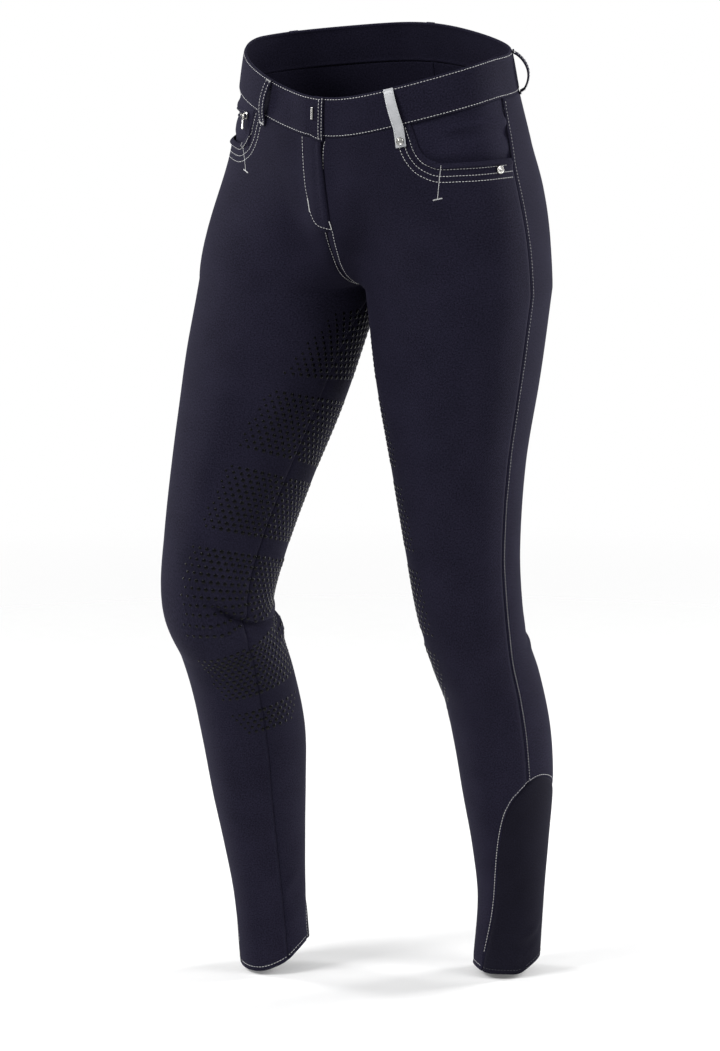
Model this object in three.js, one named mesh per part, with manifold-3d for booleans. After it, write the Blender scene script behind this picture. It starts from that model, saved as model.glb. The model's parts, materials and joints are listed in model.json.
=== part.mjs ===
// Riding breeches, kept in the pose in which they are worn.
// Millimetres, +Z up. The front of the garment faces -Y and +X is the wearer's left.
// The origin is the middle of the waist, level with the top of the band at the side seams.
//
// Each half of the garment is one surface with two coordinates:
//   u runs round the half: 0 at the front centre (inseam on the leg), 0.5 at the side seam,
//     1 at the back centre (inseam again on the leg);
//   v runs down it: 2 at the top of the band, 1 at the waist seam, 0 at the crotch,
//     and below the crotch it is minus the distance down the leg in millimetres.
// The cut pieces are patches of that surface given a wall.
import * as THREE from "three";
import Module from "manifold-3d";
import * as BufferGeometryUtils from "three/addons/utils/BufferGeometryUtils.js";

// driving dimensions
const CROTCH_Z = -242;
const SIDE_RISE = 201;
const FRONT_RISE = 161;
const BACK_RISE = 215;
const BAND = 41;
const CROTCH_Y = 5;
const BLEND = 0.72;
const LEG_LENGTH = 744;
const CLOTH = 1.5;
const BAND_WALL = 2.4;
const BAND_PROUD = 0.6;
const FACING_DROP = 2.1;
const SEAM = 0.32;
const LOOP_WIDTH = 10;

// how the halves are rounded and drawn in at the crotch
const LEG_ROUND = 2.2;
const TRUNK_ROUND = 2.3;
const CROTCH_REACH = 0.16;
const CROTCH_FALL = 90;
const FRONT_BEND = 3.2;
const BACK_BEND = 3.2;
const RISE_DIP = 0.3;
const HANG_FROM = 160;

// width of the half, or of the leg, that one unit of u spans; a leg narrows on its way down
const TRUNK_SPAN = 450;
const LEG_SPAN = 540;
const LEG_TAPER = 0.42;
const ANKLE_SPAN = 232;

// half sections of the trunk, by height above the crotch
const TRUNK = [
  { up: 0, half: 168, front: 82, back: 132 },
  { up: 50, half: 171, front: 88, back: 143 },
  { up: 100, half: 167, front: 95, back: 140 },
  { up: 150, half: 160, front: 100, back: 121 },
  { up: 201, half: 150, front: 101, back: 104 },
  { up: 242, half: 143, front: 100, back: 95 },
];

// leg sections, by distance down the leg
const GIRTH = [
  { down: 0, inner: 90, outer: 90, front: 86, back: 106 },
  { down: 90, inner: 83, outer: 82, front: 80, back: 90 },
  { down: 180, inner: 71, outer: 71, front: 73, back: 74 },
  { down: 270, inner: 60, outer: 61, front: 65, back: 62 },
  { down: 330, inner: 53, outer: 55, front: 59, back: 54 },
  { down: 380, inner: 51, outer: 51, front: 54, back: 53 },
  { down: 430, inner: 49, outer: 49, front: 50, back: 57 },
  { down: 490, inner: 48, outer: 48, front: 47, back: 60 },
  { down: 550, inner: 44, outer: 44, front: 44, back: 55 },
  { down: 610, inner: 38, outer: 38, front: 40, back: 46 },
  { down: 670, inner: 34, outer: 34, front: 37, back: 39 },
  { down: 744, inner: 34, outer: 34, front: 38, back: 38 },
];

// middle of each leg (x is outwards), its turn about the vertical and how full it is
const POSE = {
  right: [
    { down: 0, x: 90, y: -30, z: 0, yaw: 0, fill: 1 },
    { down: 90, x: 97, y: -60, z: -90, yaw: -6, fill: 1 },
    { down: 180, x: 104, y: -90, z: -178, yaw: -12, fill: 0.99 },
    { down: 270, x: 109, y: -116, z: -264, yaw: -20, fill: 0.98 },
    { down: 330, x: 111, y: -125, z: -323, yaw: -24, fill: 1 },
    { down: 380, x: 112, y: -104, z: -370, yaw: -28, fill: 0.99 },
    { down: 430, x: 112, y: -88, z: -417, yaw: -30, fill: 1 },
    { down: 490, x: 111, y: -75, z: -475, yaw: -30, fill: 1 },
    { down: 550, x: 111, y: -64, z: -534, yaw: -30, fill: 0.99 },
    { down: 610, x: 111, y: -51, z: -592, yaw: -30, fill: 1 },
    { down: 670, x: 111, y: -39, z: -651, yaw: -30, fill: 1 },
    { down: 744, x: 111, y: -28, z: -724, yaw: -30, fill: 0.98 },
  ],
  left: [
    { down: 0, x: 90, y: 8, z: 0, yaw: 0, fill: 1 },
    { down: 90, x: 96, y: 0, z: -90, yaw: -4, fill: 0.97 },
    { down: 180, x: 99, y: 0, z: -180, yaw: -8, fill: 0.92 },
    { down: 270, x: 102, y: 6, z: -270, yaw: -12, fill: 0.91 },
    { down: 330, x: 104, y: 16, z: -329, yaw: -14, fill: 0.95 },
    { down: 380, x: 106, y: 30, z: -376, yaw: -16, fill: 0.95 },
    { down: 430, x: 107, y: 49, z: -421, yaw: -18, fill: 0.95 },
    { down: 490, x: 107, y: 66, z: -479, yaw: -20, fill: 0.95 },
    { down: 550, x: 107, y: 78, z: -538, yaw: -22, fill: 0.96 },
    { down: 610, x: 106, y: 88, z: -597, yaw: -24, fill: 0.94 },
    { down: 670, x: 104, y: 95, z: -657, yaw: -24, fill: 0.92 },
    { down: 744, x: 99, y: 96, z: -731, yaw: -24, fill: 0.93 },
  ],
};

// how far each hem hangs below (+) or is drawn up above (-) the leg's plain length
const HEM = [
  { u: 0, right: -3, left: -3 },
  { u: 0.06, right: 1, left: -1 },
  { u: 0.13, right: 5, left: 0 },
  { u: 0.21, right: 6, left: 0 },
  { u: 0.3, right: 5, left: 2 },
  { u: 0.39, right: 2, left: 1 },
  { u: 0.48, right: -3, left: 1 },
  { u: 0.57, right: -8, left: -7 },
  { u: 0.66, right: -12, left: -12 },
  { u: 0.8, right: -16, left: -13 },
  { u: 0.88, right: -16, left: -9 },
  { u: 0.94, right: -11, left: -6 },
  { u: 1, right: -3, left: -3 },
];

// upper edge of the stretch insert at the ankle
const ARC = [
  { u: 0.278, down: 744 },
  { u: 0.312, down: 696 },
  { u: 0.344, down: 640 },
  { u: 0.375, down: 592 },
  { u: 0.406, down: 560 },
  { u: 0.45, down: 540 },
  { u: 0.54, down: 527 },
  { u: 0.63, down: 538 },
  { u: 0.7, down: 562 },
  { u: 0.76, down: 608 },
  { u: 0.82, down: 682 },
  { u: 0.87, down: 744 },
];

// mouth of the front pocket: the edge of the front panel below the waist seam
const SCOOP = [
  { u: 0.27, v: 1 },
  { u: 0.279, v: 0.93 },
  { u: 0.287, v: 0.865 },
  { u: 0.3, v: 0.81 },
  { u: 0.315, v: 0.778 },
  { u: 0.33, v: 0.758 },
  { u: 0.365, v: 0.744 },
  { u: 0.41, v: 0.728 },
  { u: 0.5, v: 0.705 },
];

// largest folds, on the knees. Each starts and ends at a u and at millimetres below the crotch; it
// bows by so much, and is so wide and so high (+) or deep (-)
const FOLDS = {
  right: [
    { u0: 0.15, fall0: 318, u1: -0.1, fall1: 362, bow: 3, wide: 7, deep: -3.4 },
    { u0: 0.15, fall0: 330, u1: -0.1, fall1: 374, bow: 3, wide: 7, deep: 2.2 },
    { u0: -0.1, fall0: 372, u1: -0.32, fall1: 366, bow: 8, wide: 8, deep: -2.6 },
    { u0: -0.1, fall0: 384, u1: -0.34, fall1: 380, bow: 8, wide: 8, deep: 2.2 },
    { u0: -0.12, fall0: 356, u1: -0.36, fall1: 350, bow: 8, wide: 9, deep: 1.8 },
  ],
  left: [
    { u0: -0.14, fall0: 372, u1: -0.4, fall1: 378, bow: 8, wide: 9, deep: -1.8 },
    { u0: -0.12, fall0: 388, u1: -0.42, fall1: 394, bow: 8, wide: 9, deep: 1.6 },
  ],
};

const FRONT_COLUMNS = [0, 0.035, 0.075, 0.12, 0.165, 0.21, 0.245, 0.27, 0.279, 0.287,
  0.3, 0.315, 0.33, 0.347, 0.365, 0.385, 0.41, 0.44, 0.47, 0.5];
const BACK_COLUMNS = [0.5, 0.54, 0.58, 0.62, 0.66, 0.7, 0.73, 0.76, 0.79, 0.82, 0.845,
  0.87, 0.9, 0.935, 0.97, 1];
const TRUNK_ROWS = [0.6, 0.565, 0.53, 0.485, 0.44, 0.36, 0.28, 0.2, 0.13, 0.06, 0];
const LEG_ROWS = [-30, -66, -108, -156, -208, -256, -288, -300, -310, -318, -326, -334, -342, -350,
  -358, -366, -375, -386, -400, -440, -480];
const WAIST_END = 0.68;
const WAIST_STEPS = [0, 0.33, 0.644];
const HEM_ROWS = 6;
const FACING_COLUMNS = [0.25, 0.27, 0.287, 0.31, 0.34, 0.38, 0.42, 0.46, 0.4992];
const FACING_ROWS = 5;
const FACING_WALL = 1.1;
const FACING_BELOW = 0.09;
const FACING_LEAST = 0.92;

const clamp = (x) => Math.min(1, Math.max(0, x));
const ease = (x) => {
  const c = clamp(x);
  return c * c * (3 - 2 * c);
};
const add = (a, b, k = 1) => a.map((x, i) => x + b[i] * k);
const dot = (a, b) => a[0] * b[0] + a[1] * b[1] + a[2] * b[2];
const unit = (a) => {
  const length = Math.hypot(...a);
  return a.map((x) => x / length);
};
const cross = (a, b) => [
  a[1] * b[2] - a[2] * b[1],
  a[2] * b[0] - a[0] * b[2],
  a[0] * b[1] - a[1] * b[0],
];

// a column of a table read smoothly between its rows
function read(table, stop, key, at) {
  const last = table.length - 1;
  let i = 0;
  while (i < last - 1 && at > table[i + 1][stop]) i += 1;
  const slope = (j) => {
    const low = table[Math.max(j - 1, 0)];
    const high = table[Math.min(j + 1, last)];
    return (high[key] - low[key]) / (high[stop] - low[stop]);
  };
  const span = table[i + 1][stop] - table[i][stop];
  const t = (at - table[i][stop]) / span;
  const t2 = t * t;
  const t3 = t2 * t;
  return (2 * t3 - 3 * t2 + 1) * table[i][key] + (t3 - 2 * t2 + t) * span * slope(i)
    + (3 * t2 - 2 * t3) * table[i + 1][key] + (t3 - t2) * span * slope(i + 1);
}

// a column of a table read in straight lines between its rows
function readStraight(table, stop, key, at) {
  let i = 0;
  while (i < table.length - 2 && at > table[i + 1][stop]) i += 1;
  const t = (at - table[i][stop]) / (table[i + 1][stop] - table[i][stop]);
  return table[i][key] + clamp(t) * (table[i + 1][key] - table[i][key]);
}

const signOf = (side) => (side === "left" ? 1 : -1);

// centre of the leg and the directions to its front and to the wearer's left
function legFrame(side, down) {
  const sign = signOf(side);
  const centre = (d) => [
    sign * read(POSE[side], "down", "x", d),
    read(POSE[side], "down", "y", d),
    read(POSE[side], "down", "z", d) + CROTCH_Z,
  ];
  const low = Math.max(down - 4, 0);
  const high = Math.min(down + 4, LEG_LENGTH + 8);
  const along = unit(add(centre(high), centre(low), -1));
  const k = ease(down / HANG_FROM);
  const axis = unit([along[0] * k, along[1] * k, along[2] * k - (1 - k)]);
  const yaw = read(POSE[side], "down", "yaw", down) * Math.PI / 180;
  const ahead = [Math.sin(yaw), -Math.cos(yaw), 0];
  const front = unit(add(ahead, axis, -dot(ahead, axis)));
  return { centre: centre(down), front, left: cross(front, axis) };
}

function legPoint(side, u, down) {
  const { centre, front, left } = legFrame(side, down);
  const c = Math.cos(2 * Math.PI * u);
  const s = Math.sin(2 * Math.PI * u);
  const fill = read(POSE[side], "down", "fill", down);
  const wide = fill * read(GIRTH, "down", c > 0 ? "inner" : "outer", down);
  const deep = fill * read(GIRTH, "down", s > 0 ? "front" : "back", down);
  const r = (Math.abs(c / wide) ** LEG_ROUND + Math.abs(s / deep) ** LEG_ROUND) ** (-1 / LEG_ROUND);
  return add(add(centre, left, -signOf(side) * r * c), front, r * s);
}

function trunkPoint(side, u, up) {
  const c = Math.cos(Math.PI * u);
  const s = Math.sin(Math.PI * u);
  const half = read(TRUNK, "up", "half", up);
  const deep = read(TRUNK, "up", c > 0 ? "front" : "back", up);
  const r = (Math.abs(s / half) ** TRUNK_ROUND + Math.abs(c / deep) ** TRUNK_ROUND) ** (-1 / TRUNK_ROUND);
  return [signOf(side) * r * s, -r * c];
}

// the outer surface of one half
function surface(side, u, v) {
  const edge = ease(Math.max(1 - u / CROTCH_REACH, 1 - (1 - u) / CROTCH_REACH, 0));
  if (v <= 0) {
    const p = legPoint(side, u, -v);
    const gather = edge * (1 - clamp(-v / CROTCH_FALL)) ** 2;
    p[1] += gather * (CROTCH_Y - legPoint(side, 0, 0)[1]);
    return p;
  }
  const c = Math.cos(Math.PI * u);
  const high = Math.min(v, 1);
  const over = Math.max(v - 1, 0) * BAND;
  const rise = SIDE_RISE - (SIDE_RISE - FRONT_RISE) * Math.max(0, c) ** 1.6
    + (u > 0.5 ? (BACK_RISE - SIDE_RISE) * c * c : 0);
  const up = high * SIDE_RISE + over;
  const trunk = trunkPoint(side, u, up);
  const leg = legPoint(side, u, 0);
  const share = 1 - ease(high / BLEND);
  const x = (1 - share) * trunk[0] + share * leg[0];
  let y = (1 - share) * trunk[1] + share * leg[1];
  let z = CROTCH_Z + high * rise + over;
  const bend = 1 - (1 - clamp(high / BLEND)) ** (u < 0.5 ? FRONT_BEND : BACK_BEND);
  const centreLine = trunkPoint(side, u < 0.5 ? 0 : 1, up)[1];
  const plain = (1 - share) * centreLine + share * legPoint(side, 0, 0)[1];
  y += edge * (CROTCH_Y + (centreLine - CROTCH_Y) * bend - plain);
  z += edge * (((1 + RISE_DIP) * high * high) / (high + RISE_DIP) - high) * rise;
  return [x, y, z];
}

// outward direction of that surface; it has no sideways part along the centre lines
function outward(side, u, v) {
  const du = 0.004;
  const dv = v > 0 ? 0.012 : 2.5;
  const across = add(surface(side, Math.min(u + du, 1), v), surface(side, Math.max(u - du, 0), v), -1);
  const above = v > 0 ? Math.min(v + dv, 2.1) : (v + dv > 0 ? 0.012 : v + dv);
  const below = v > 0 ? (v - dv < 0 ? -2.5 : v - dv) : v - dv;
  const down = add(surface(side, u, below), surface(side, u, above), -1);
  const n = cross(across, down).map((x) => x * signOf(side) * -1);
  if (v >= 0 && (u < 0.002 || u > 0.998)) n[0] = 0;
  return unit(n);
}

const spanOf = (v) => (v > 0 ? TRUNK_SPAN : LEG_SPAN + v * LEG_TAPER);

// height of the folds above the plain surface
function folded(side, u, v) {
  let height = 0;
  for (const { u0, fall0, u1, fall1, bow, wide, deep } of FOLDS[side]) {
    const around = spanOf(-fall0);
    const run = [(u1 - u0) * around, fall1 - fall0];
    const length = Math.hypot(...run);
    for (const turn of [0, 1]) {
      const x = (u - u0 - turn) * around;
      const y = -v - fall0;
      const t = (x * run[0] + y * run[1]) / length ** 2;
      const off = (y * run[0] - x * run[1]) / length - bow * 4 * t * (1 - t);
      const taper = ease(t / 0.3) * ease((1 - t) / 0.3);
      height += deep * taper * Math.exp(-((off / wide) ** 2));
    }
  }
  return height;
}

// a point of a cut piece: off the surface by out, and clear of the centre line
function place(side, u, v, out = 0) {
  const n = outward(side, u, v);
  const fold = v < 0 ? folded(side, u, v) : 0;
  const p = add(surface(side, u, v), n, out + fold);
  const sign = signOf(side);
  if (v > -30) p[0] = sign * Math.max(sign * p[0], SEAM / 2);
  return { p, n };
}

// right front over left front: how far the fly edge stands proud, and how far it crosses
const FLY_PROUD = 2.3;
const FLY_OVER = 4;
const flyLift = (u, v) => FLY_PROUD * ease(1 - u / 0.1) * ease((v - 0.44) / 0.09);
const flyCross = (u, v) => FLY_OVER * ease(1 - u / 0.03) * ease((v - 0.53) / 0.07);

// closed body from a grid of points with their outward directions
function shell(grid, wall) {
  const rows = grid.length;
  const columns = grid[0].length;
  const vertices = [];
  for (const depth of [0, wall]) {
    for (const row of grid) {
      for (const { p, n } of row) vertices.push(...add(p, n, -depth));
    }
  }
  const at = (layer, j, i) => layer * rows * columns + j * columns + i;
  const faces = [];
  const quad = (a, b, c, d) => faces.push(a, b, c, a, c, d);
  for (let j = 0; j < rows - 1; j += 1) {
    for (let i = 0; i < columns - 1; i += 1) {
      quad(at(0, j, i), at(0, j + 1, i), at(0, j + 1, i + 1), at(0, j, i + 1));
      quad(at(1, j, i), at(1, j, i + 1), at(1, j + 1, i + 1), at(1, j + 1, i));
    }
  }
  for (let i = 0; i < columns - 1; i += 1) {
    quad(at(0, 0, i), at(0, 0, i + 1), at(1, 0, i + 1), at(1, 0, i));
    quad(at(0, rows - 1, i + 1), at(0, rows - 1, i), at(1, rows - 1, i), at(1, rows - 1, i + 1));
  }
  for (let j = 0; j < rows - 1; j += 1) {
    quad(at(0, j + 1, 0), at(0, j, 0), at(1, j, 0), at(1, j + 1, 0));
    quad(at(0, j, columns - 1), at(0, j + 1, columns - 1),
      at(1, j + 1, columns - 1), at(1, j, columns - 1));
  }
  const geometry = new THREE.BufferGeometry();
  geometry.setAttribute("position", new THREE.Float32BufferAttribute(vertices, 3));
  geometry.setIndex(faces);
  const solid = signedVolume(vertices, faces) < 0 ? faces.reverse() : faces;
  geometry.setIndex(solid);
  geometry.computeVertexNormals();
  return geometry;
}

function signedVolume(vertices, faces) {
  let sum = 0;
  const corner = (k) => vertices.slice(3 * faces[k], 3 * faces[k] + 3);
  for (let k = 0; k < faces.length; k += 3) sum += dot(corner(k), cross(corner(k + 1), corner(k + 2)));
  return sum / 6;
}

const colours = {
  navy: new THREE.MeshStandardMaterial({ color: "#20212d", roughness: 0.85 }),
  insert: new THREE.MeshStandardMaterial({ color: "#1d1e28", roughness: 0.8 }),
  silver: new THREE.MeshStandardMaterial({ color: "#9ea0a3", roughness: 0.45 }),
  metal: new THREE.MeshStandardMaterial({ color: "#c9ccd0", roughness: 0.25, metalness: 1 }),
};

const breeches = new THREE.Group();

function sew(name, geometry, material) {
  const mesh = new THREE.Mesh(geometry, material);
  mesh.name = name;
  breeches.add(mesh);
  return mesh;
}

const hemOf = (side, u) => -(LEG_LENGTH + read(HEM, "u", side, u));

// the arc where the panels end over the insert, with a stop at each column that meets it
const ARC_START = ARC[0].u;
const ARC_END = ARC[ARC.length - 1].u;
const overInsert = (u) => u > ARC_START && u <= ARC_END;
const ARC_COLUMNS = [...new Set([...FRONT_COLUMNS, ...BACK_COLUMNS])].filter(overInsert);
const arcStops = (side) => ARC_COLUMNS.map((u) => ({
  u,
  v: Math.max(-read(ARC, "u", "down", u), hemOf(side, u) + 1),
}));
const ARC_LINE = { left: arcStops("left"), right: arcStops("right") };

// lower edge of a panel
const lowest = (side, u) => (overInsert(u) ? readStraight(ARC_LINE[side], "u", "v", u) : hemOf(side, u));

// clear distance along the leg that leaves the seam's gap square to a slanting edge
const STEEPEST = 9;
function slantGap(side, u) {
  if (!overInsert(u)) return 0;
  const step = 0.006;
  const slope = Math.abs(lowest(side, u - step) - lowest(side, u + step)) / (2 * step * ANKLE_SPAN);
  return (SEAM / 2) * Math.hypot(1, Math.min(slope, STEEPEST));
}

function panel(side, columns, topOf) {
  const rows = [];
  const first = columns[0];
  const last = columns[columns.length - 1];
  const shift = (u, v) => {
    const gap = SEAM / 2 / spanOf(v);
    if (u === first) return u + gap;
    if (u === last) return u - gap;
    return u;
  };
  const line = (valueOf, fly) => columns.map((u) => {
    const v = valueOf(u);
    const spot = place(side, shift(u, v), v);
    if (fly) {
      spot.p = add(spot.p, spot.n, flyLift(u, v));
      spot.p[0] += flyCross(u, v);
    }
    return spot;
  });
  const fly = side === "right" && first === 0;
  for (const t of WAIST_STEPS) {
    rows.push(line((u) => topOf(u) + t * (WAIST_END - topOf(u)), fly));
  }
  rows.push(line((u) => Math.min(WAIST_END, topOf(u) - 0.02), fly));
  for (const v of TRUNK_ROWS) rows.push(line(() => v, fly));
  for (const v of LEG_ROWS) rows.push(line(() => v, false));
  const start = LEG_ROWS[LEG_ROWS.length - 1];
  for (let k = 1; k <= HEM_ROWS; k += 1) {
    rows.push(line((u) => start + (k / HEM_ROWS) * (lowest(side, u) + slantGap(side, u) - start), false));
  }
  return shell(rows, CLOTH);
}

const waistTop = 1 - SEAM / 2 / SIDE_RISE;
const mouth = (u) => Math.min(waistTop, readStraight(SCOOP, "u", "v", u));
const INSERT_START = ARC_START + 0.0025;
const INSERT_END = ARC_END - 0.0015;
for (const side of ["right", "left"]) {
  sew(`front_${side}`, panel(side, FRONT_COLUMNS, mouth), colours.navy);
  sew(`back_${side}`, panel(side, BACK_COLUMNS, () => waistTop), colours.navy);

  const between = ARC_COLUMNS.filter((u) => u > INSERT_START && u < INSERT_END);
  const columns = [INSERT_START, ...between, INSERT_END];
  const grid = [];
  for (let k = 0; k <= HEM_ROWS; k += 1) {
    grid.push(columns.map((u) => {
      const top = lowest(side, u) - slantGap(side, u) - 0.05;
      const end = Math.min(hemOf(side, u), top - 0.6);
      return place(side, u, top + (k / HEM_ROWS) * (end - top));
    }));
  }
  sew(`ankle_insert_${side}`, shell(grid, CLOTH), colours.insert);

  const facing = [];
  for (let k = 0; k <= FACING_ROWS; k += 1) {
    facing.push(FACING_COLUMNS.map((u) => {
      const end = Math.min(FACING_LEAST, mouth(u) - FACING_BELOW);
      return place(side, u, waistTop + (k / FACING_ROWS) * (end - waistTop), -FACING_DROP);
    }));
  }
  sew(`pocket_facing_${side}`, shell(facing, FACING_WALL), colours.navy);
}

// the band: one strip from its right end, round the back, to the left end that lies under it.
// s is the u of the right half, then 2 minus the u of the left half
const BAND_OVER = 2.8;
const BAND_LAP = 3;
const BAND_STOPS = [0, 0.03, 0.06, 0.1, 0.15, 0.2, 0.26, 0.32, 0.38, 0.44, 0.5, 0.56, 0.62, 0.68,
  0.74, 0.8, 0.86, 0.93, 1, 1.07, 1.14, 1.2, 1.26, 1.32, 1.38, 1.44, 1.5, 1.56, 1.62, 1.68, 1.74,
  1.8, 1.85, 1.9, 1.94, 1.97, 2, 2.03];
function bandSpot(s, t) {
  const side = s < 1 || s > 2 ? "right" : "left";
  const u = Math.abs(s < 1 ? s : 2 - s);
  const v = 1 + (SEAM / 2 + t * (BAND - SEAM / 2)) / BAND;
  const over = s < 1 ? BAND_OVER * (1 - ease((s - 0.05) / 0.08)) : 0;
  const spot = place(side, u, v, BAND_PROUD + over);
  if (s === 0) spot.p[0] = BAND_LAP;
  if (s === 1 || s === 2) {
    spot.p[0] = 0;
    spot.n[0] = 0;
  }
  return spot;
}
const bandGrid = [0, 0.5, 1].map((t) => BAND_STOPS.map((s) => bandSpot(s, t)));
sew("waistband", shell(bandGrid, BAND_WALL), colours.navy);

// belt loops: strips stitched down at both ends and bowed off the band between them. A loop leans
// from u at its top to foot at its lower end, which is at v low
const LOOPS = [
  { name: "front_left", side: "left", u: 0.216, foot: 0.248, low: 0.885, bow: 3.4, wide: 11 },
  { name: "front_right", side: "right", u: 0.205, foot: 0.228, low: 0.95, bow: 3.4, wide: LOOP_WIDTH },
  { name: "side_left", side: "left", u: 0.6, foot: 0.6, low: 0.985, bow: 11.5, wide: LOOP_WIDTH },
  { name: "side_right", side: "right", u: 0.6, foot: 0.6, low: 0.985, bow: 11.5, wide: LOOP_WIDTH },
  { name: "back", side: "left", u: 1, foot: 1, low: 0.95, bow: 11.5, wide: LOOP_WIDTH },
];
const LOOP_STEPS = 12;
const LOOP_TOP = 1.99;
const LOOP_ON_BAND = 0.82;
const LOOP_CLEAR = 0.35;
const LOOP_SEAT = BAND_PROUD + LOOP_CLEAR + CLOTH;
function beltLoop({ side, u, foot, low, bow, wide }) {
  const grid = [];
  for (let k = 0; k <= LOOP_STEPS; k += 1) {
    const t = k / LOOP_STEPS;
    const v = t < LOOP_ON_BAND
      ? LOOP_TOP + (t / LOOP_ON_BAND) * (1 - LOOP_TOP)
      : 1 + ((t - LOOP_ON_BAND) / (1 - LOOP_ON_BAND)) * (low - 1);
    const middle = u + t * (foot - u);
    const out = LOOP_SEAT + bow * Math.sin(Math.PI * clamp((t - 0.04) / 0.84)) ** 0.7;
    if (u === 1) {
      const { p, n } = place(side, u, v, out);
      grid.push([-wide / 2, wide / 2].map((x) => ({ p: [x, p[1], p[2]], n })));
    } else {
      const half = wide / 2 / TRUNK_SPAN;
      grid.push([middle - half, middle + half].map((at) => place(side, at, v, out)));
    }
  }
  return shell(grid, CLOTH);
}
for (const loop of LOOPS) {
  sew(`belt_loop_${loop.name}`, beltLoop(loop), loop.name === "front_left" ? colours.silver : colours.navy);
}

// a hard piece set on the cloth: its own z stands out of it, its own y runs up it
function seat(mesh, side, u, v, out, turn = 0) {
  const { p, n } = place(side, u, v, out);
  const lower = place(side, u, v - (v > 1 ? 0.1 : 0.03), out).p;
  const up = unit(add(p, lower, -1));
  const across = unit(cross(up, n));
  const basis = new THREE.Matrix4().makeBasis(
    new THREE.Vector3(...across),
    new THREE.Vector3(...cross(n, across)),
    new THREE.Vector3(...n),
  );
  mesh.quaternion.setFromRotationMatrix(basis);
  mesh.rotateZ(turn);
  mesh.position.set(...p);
}

// domed rivet: a lathe about its own z
function rivet({ radius, height }) {
  const outline = [[0, 0], [radius, 0], [radius, height * 0.35], [radius * 0.86, height * 0.75],
    [radius * 0.5, height], [0, height * 1.06]];
  const dome = new THREE.LatheGeometry(outline.map(([x, y]) => new THREE.Vector2(x, y)), 24);
  dome.rotateX(Math.PI / 2);
  return dome;
}

const POCKET_RIVET = { radius: 4.5, height: 2.2, u: 0.456, v: 0.665, clear: 0.3 };
for (const side of ["left", "right"]) {
  seat(sew(`pocket_rivet_${side}`, rivet(POCKET_RIVET), colours.metal), side, POCKET_RIVET.u,
    POCKET_RIVET.v, POCKET_RIVET.clear);
}
const LOOP_RIVET = { radius: 4.2, height: 2, u: 0.246, v: 0.92, clear: 0.9 };
seat(sew("loop_rivet", rivet(LOOP_RIVET), colours.metal), "left", LOOP_RIVET.u, LOOP_RIVET.v,
  LOOP_SEAT + LOOP_RIVET.clear);

// closure: the narrow edge of the band's fastener, upright in its buttonhole
const BAR = { radius: 1.2, length: 10.5, flat: 0.8, clear: 0.3, u: 0.028, v: 1.585 };
const bar = new THREE.CapsuleGeometry(BAR.radius, BAR.length, 4, 12);
bar.scale(1, 1, BAR.flat);
seat(sew("band_fastener", bar, colours.metal), "right", BAR.u, BAR.v,
  BAND_PROUD + BAND_OVER + BAR.radius * BAR.flat + BAR.clear);

// slider of the small zipped pocket, with two lugs for its pull
const wasm = await Module();
wasm.setup();
function solidOf(geometry) {
  const bare = geometry.clone();
  bare.deleteAttribute("normal");
  bare.deleteAttribute("uv");
  const merged = BufferGeometryUtils.mergeVertices(bare, 1e-4);
  return new wasm.Manifold(new wasm.Mesh({
    numProp: 3,
    vertProperties: new Float32Array(merged.attributes.position.array),
    triVerts: new Uint32Array(merged.index.array),
  }));
}
function geometryOf(solid) {
  const mesh = solid.getMesh();
  const geometry = new THREE.BufferGeometry();
  geometry.setAttribute("position", new THREE.BufferAttribute(new Float32Array(mesh.vertProperties), 3));
  geometry.setIndex(new THREE.BufferAttribute(new Uint32Array(mesh.triVerts), 1));
  geometry.computeVertexNormals();
  return geometry;
}
const SLIDER = { wide: 7.6, tall: 7, thick: 2, lug: 1.1, lugTall: 3.4, lugRise: 3.4, gap: 5, axis: 3.9,
  clear: 0.35 };
function box(x, y, z, at) {
  const b = new THREE.BoxGeometry(x, y, z);
  b.translate(...at);
  return b;
}
let slider = solidOf(box(SLIDER.wide, SLIDER.tall, SLIDER.thick, [0, 0, SLIDER.thick / 2]));
for (const end of [-1, 1]) {
  const x = end * (SLIDER.gap / 2 + SLIDER.lug / 2);
  const z = SLIDER.thick + SLIDER.lugRise / 2 - 0.1;
  slider = slider.add(solidOf(box(SLIDER.lug, SLIDER.lugTall, SLIDER.lugRise + 0.2, [x, 0, z])));
}
const ZIP_SPOT = { side: "right", u: 0.307, v: 0.93 };
const sliderMesh = sew("coin_zip_slider", geometryOf(slider), colours.metal);
seat(sliderMesh, ZIP_SPOT.side, ZIP_SPOT.u, ZIP_SPOT.v, SLIDER.clear - FACING_DROP);

// the pull: a barrel between the lugs and a flat tab that hangs from it
const PULL = { wide: 4.4, length: 14.5, thick: 1.1, barrel: 1.15, round: 2 };
const barrel = new THREE.CylinderGeometry(PULL.barrel, PULL.barrel, PULL.wide, 20);
barrel.rotateZ(Math.PI / 2);
const tabShape = new THREE.Shape();
tabShape.moveTo(-PULL.wide / 2, 0);
tabShape.lineTo(-PULL.wide / 2, -PULL.length + PULL.round);
tabShape.quadraticCurveTo(-PULL.wide / 2, -PULL.length, 0, -PULL.length);
tabShape.quadraticCurveTo(PULL.wide / 2, -PULL.length, PULL.wide / 2, -PULL.length + PULL.round);
tabShape.lineTo(PULL.wide / 2, 0);
tabShape.closePath();
const tab = new THREE.ExtrudeGeometry(tabShape, { depth: PULL.thick, bevelEnabled: false, curveSegments: 6 });
tab.translate(0, 0, -PULL.thick / 2);
const pull = sew("zip_pull_tab", geometryOf(solidOf(barrel).add(solidOf(tab))), colours.metal);
seat(pull, ZIP_SPOT.side, ZIP_SPOT.u, ZIP_SPOT.v, SLIDER.clear - FACING_DROP);
pull.translateZ(SLIDER.axis);

export default breeches;
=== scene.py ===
# %% [markdown]
# Riding breeches, filled out as if worn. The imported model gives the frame: every piece made here
# sits where its solid sits, and only its finish and its fine form are new.

import json
import math

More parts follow.
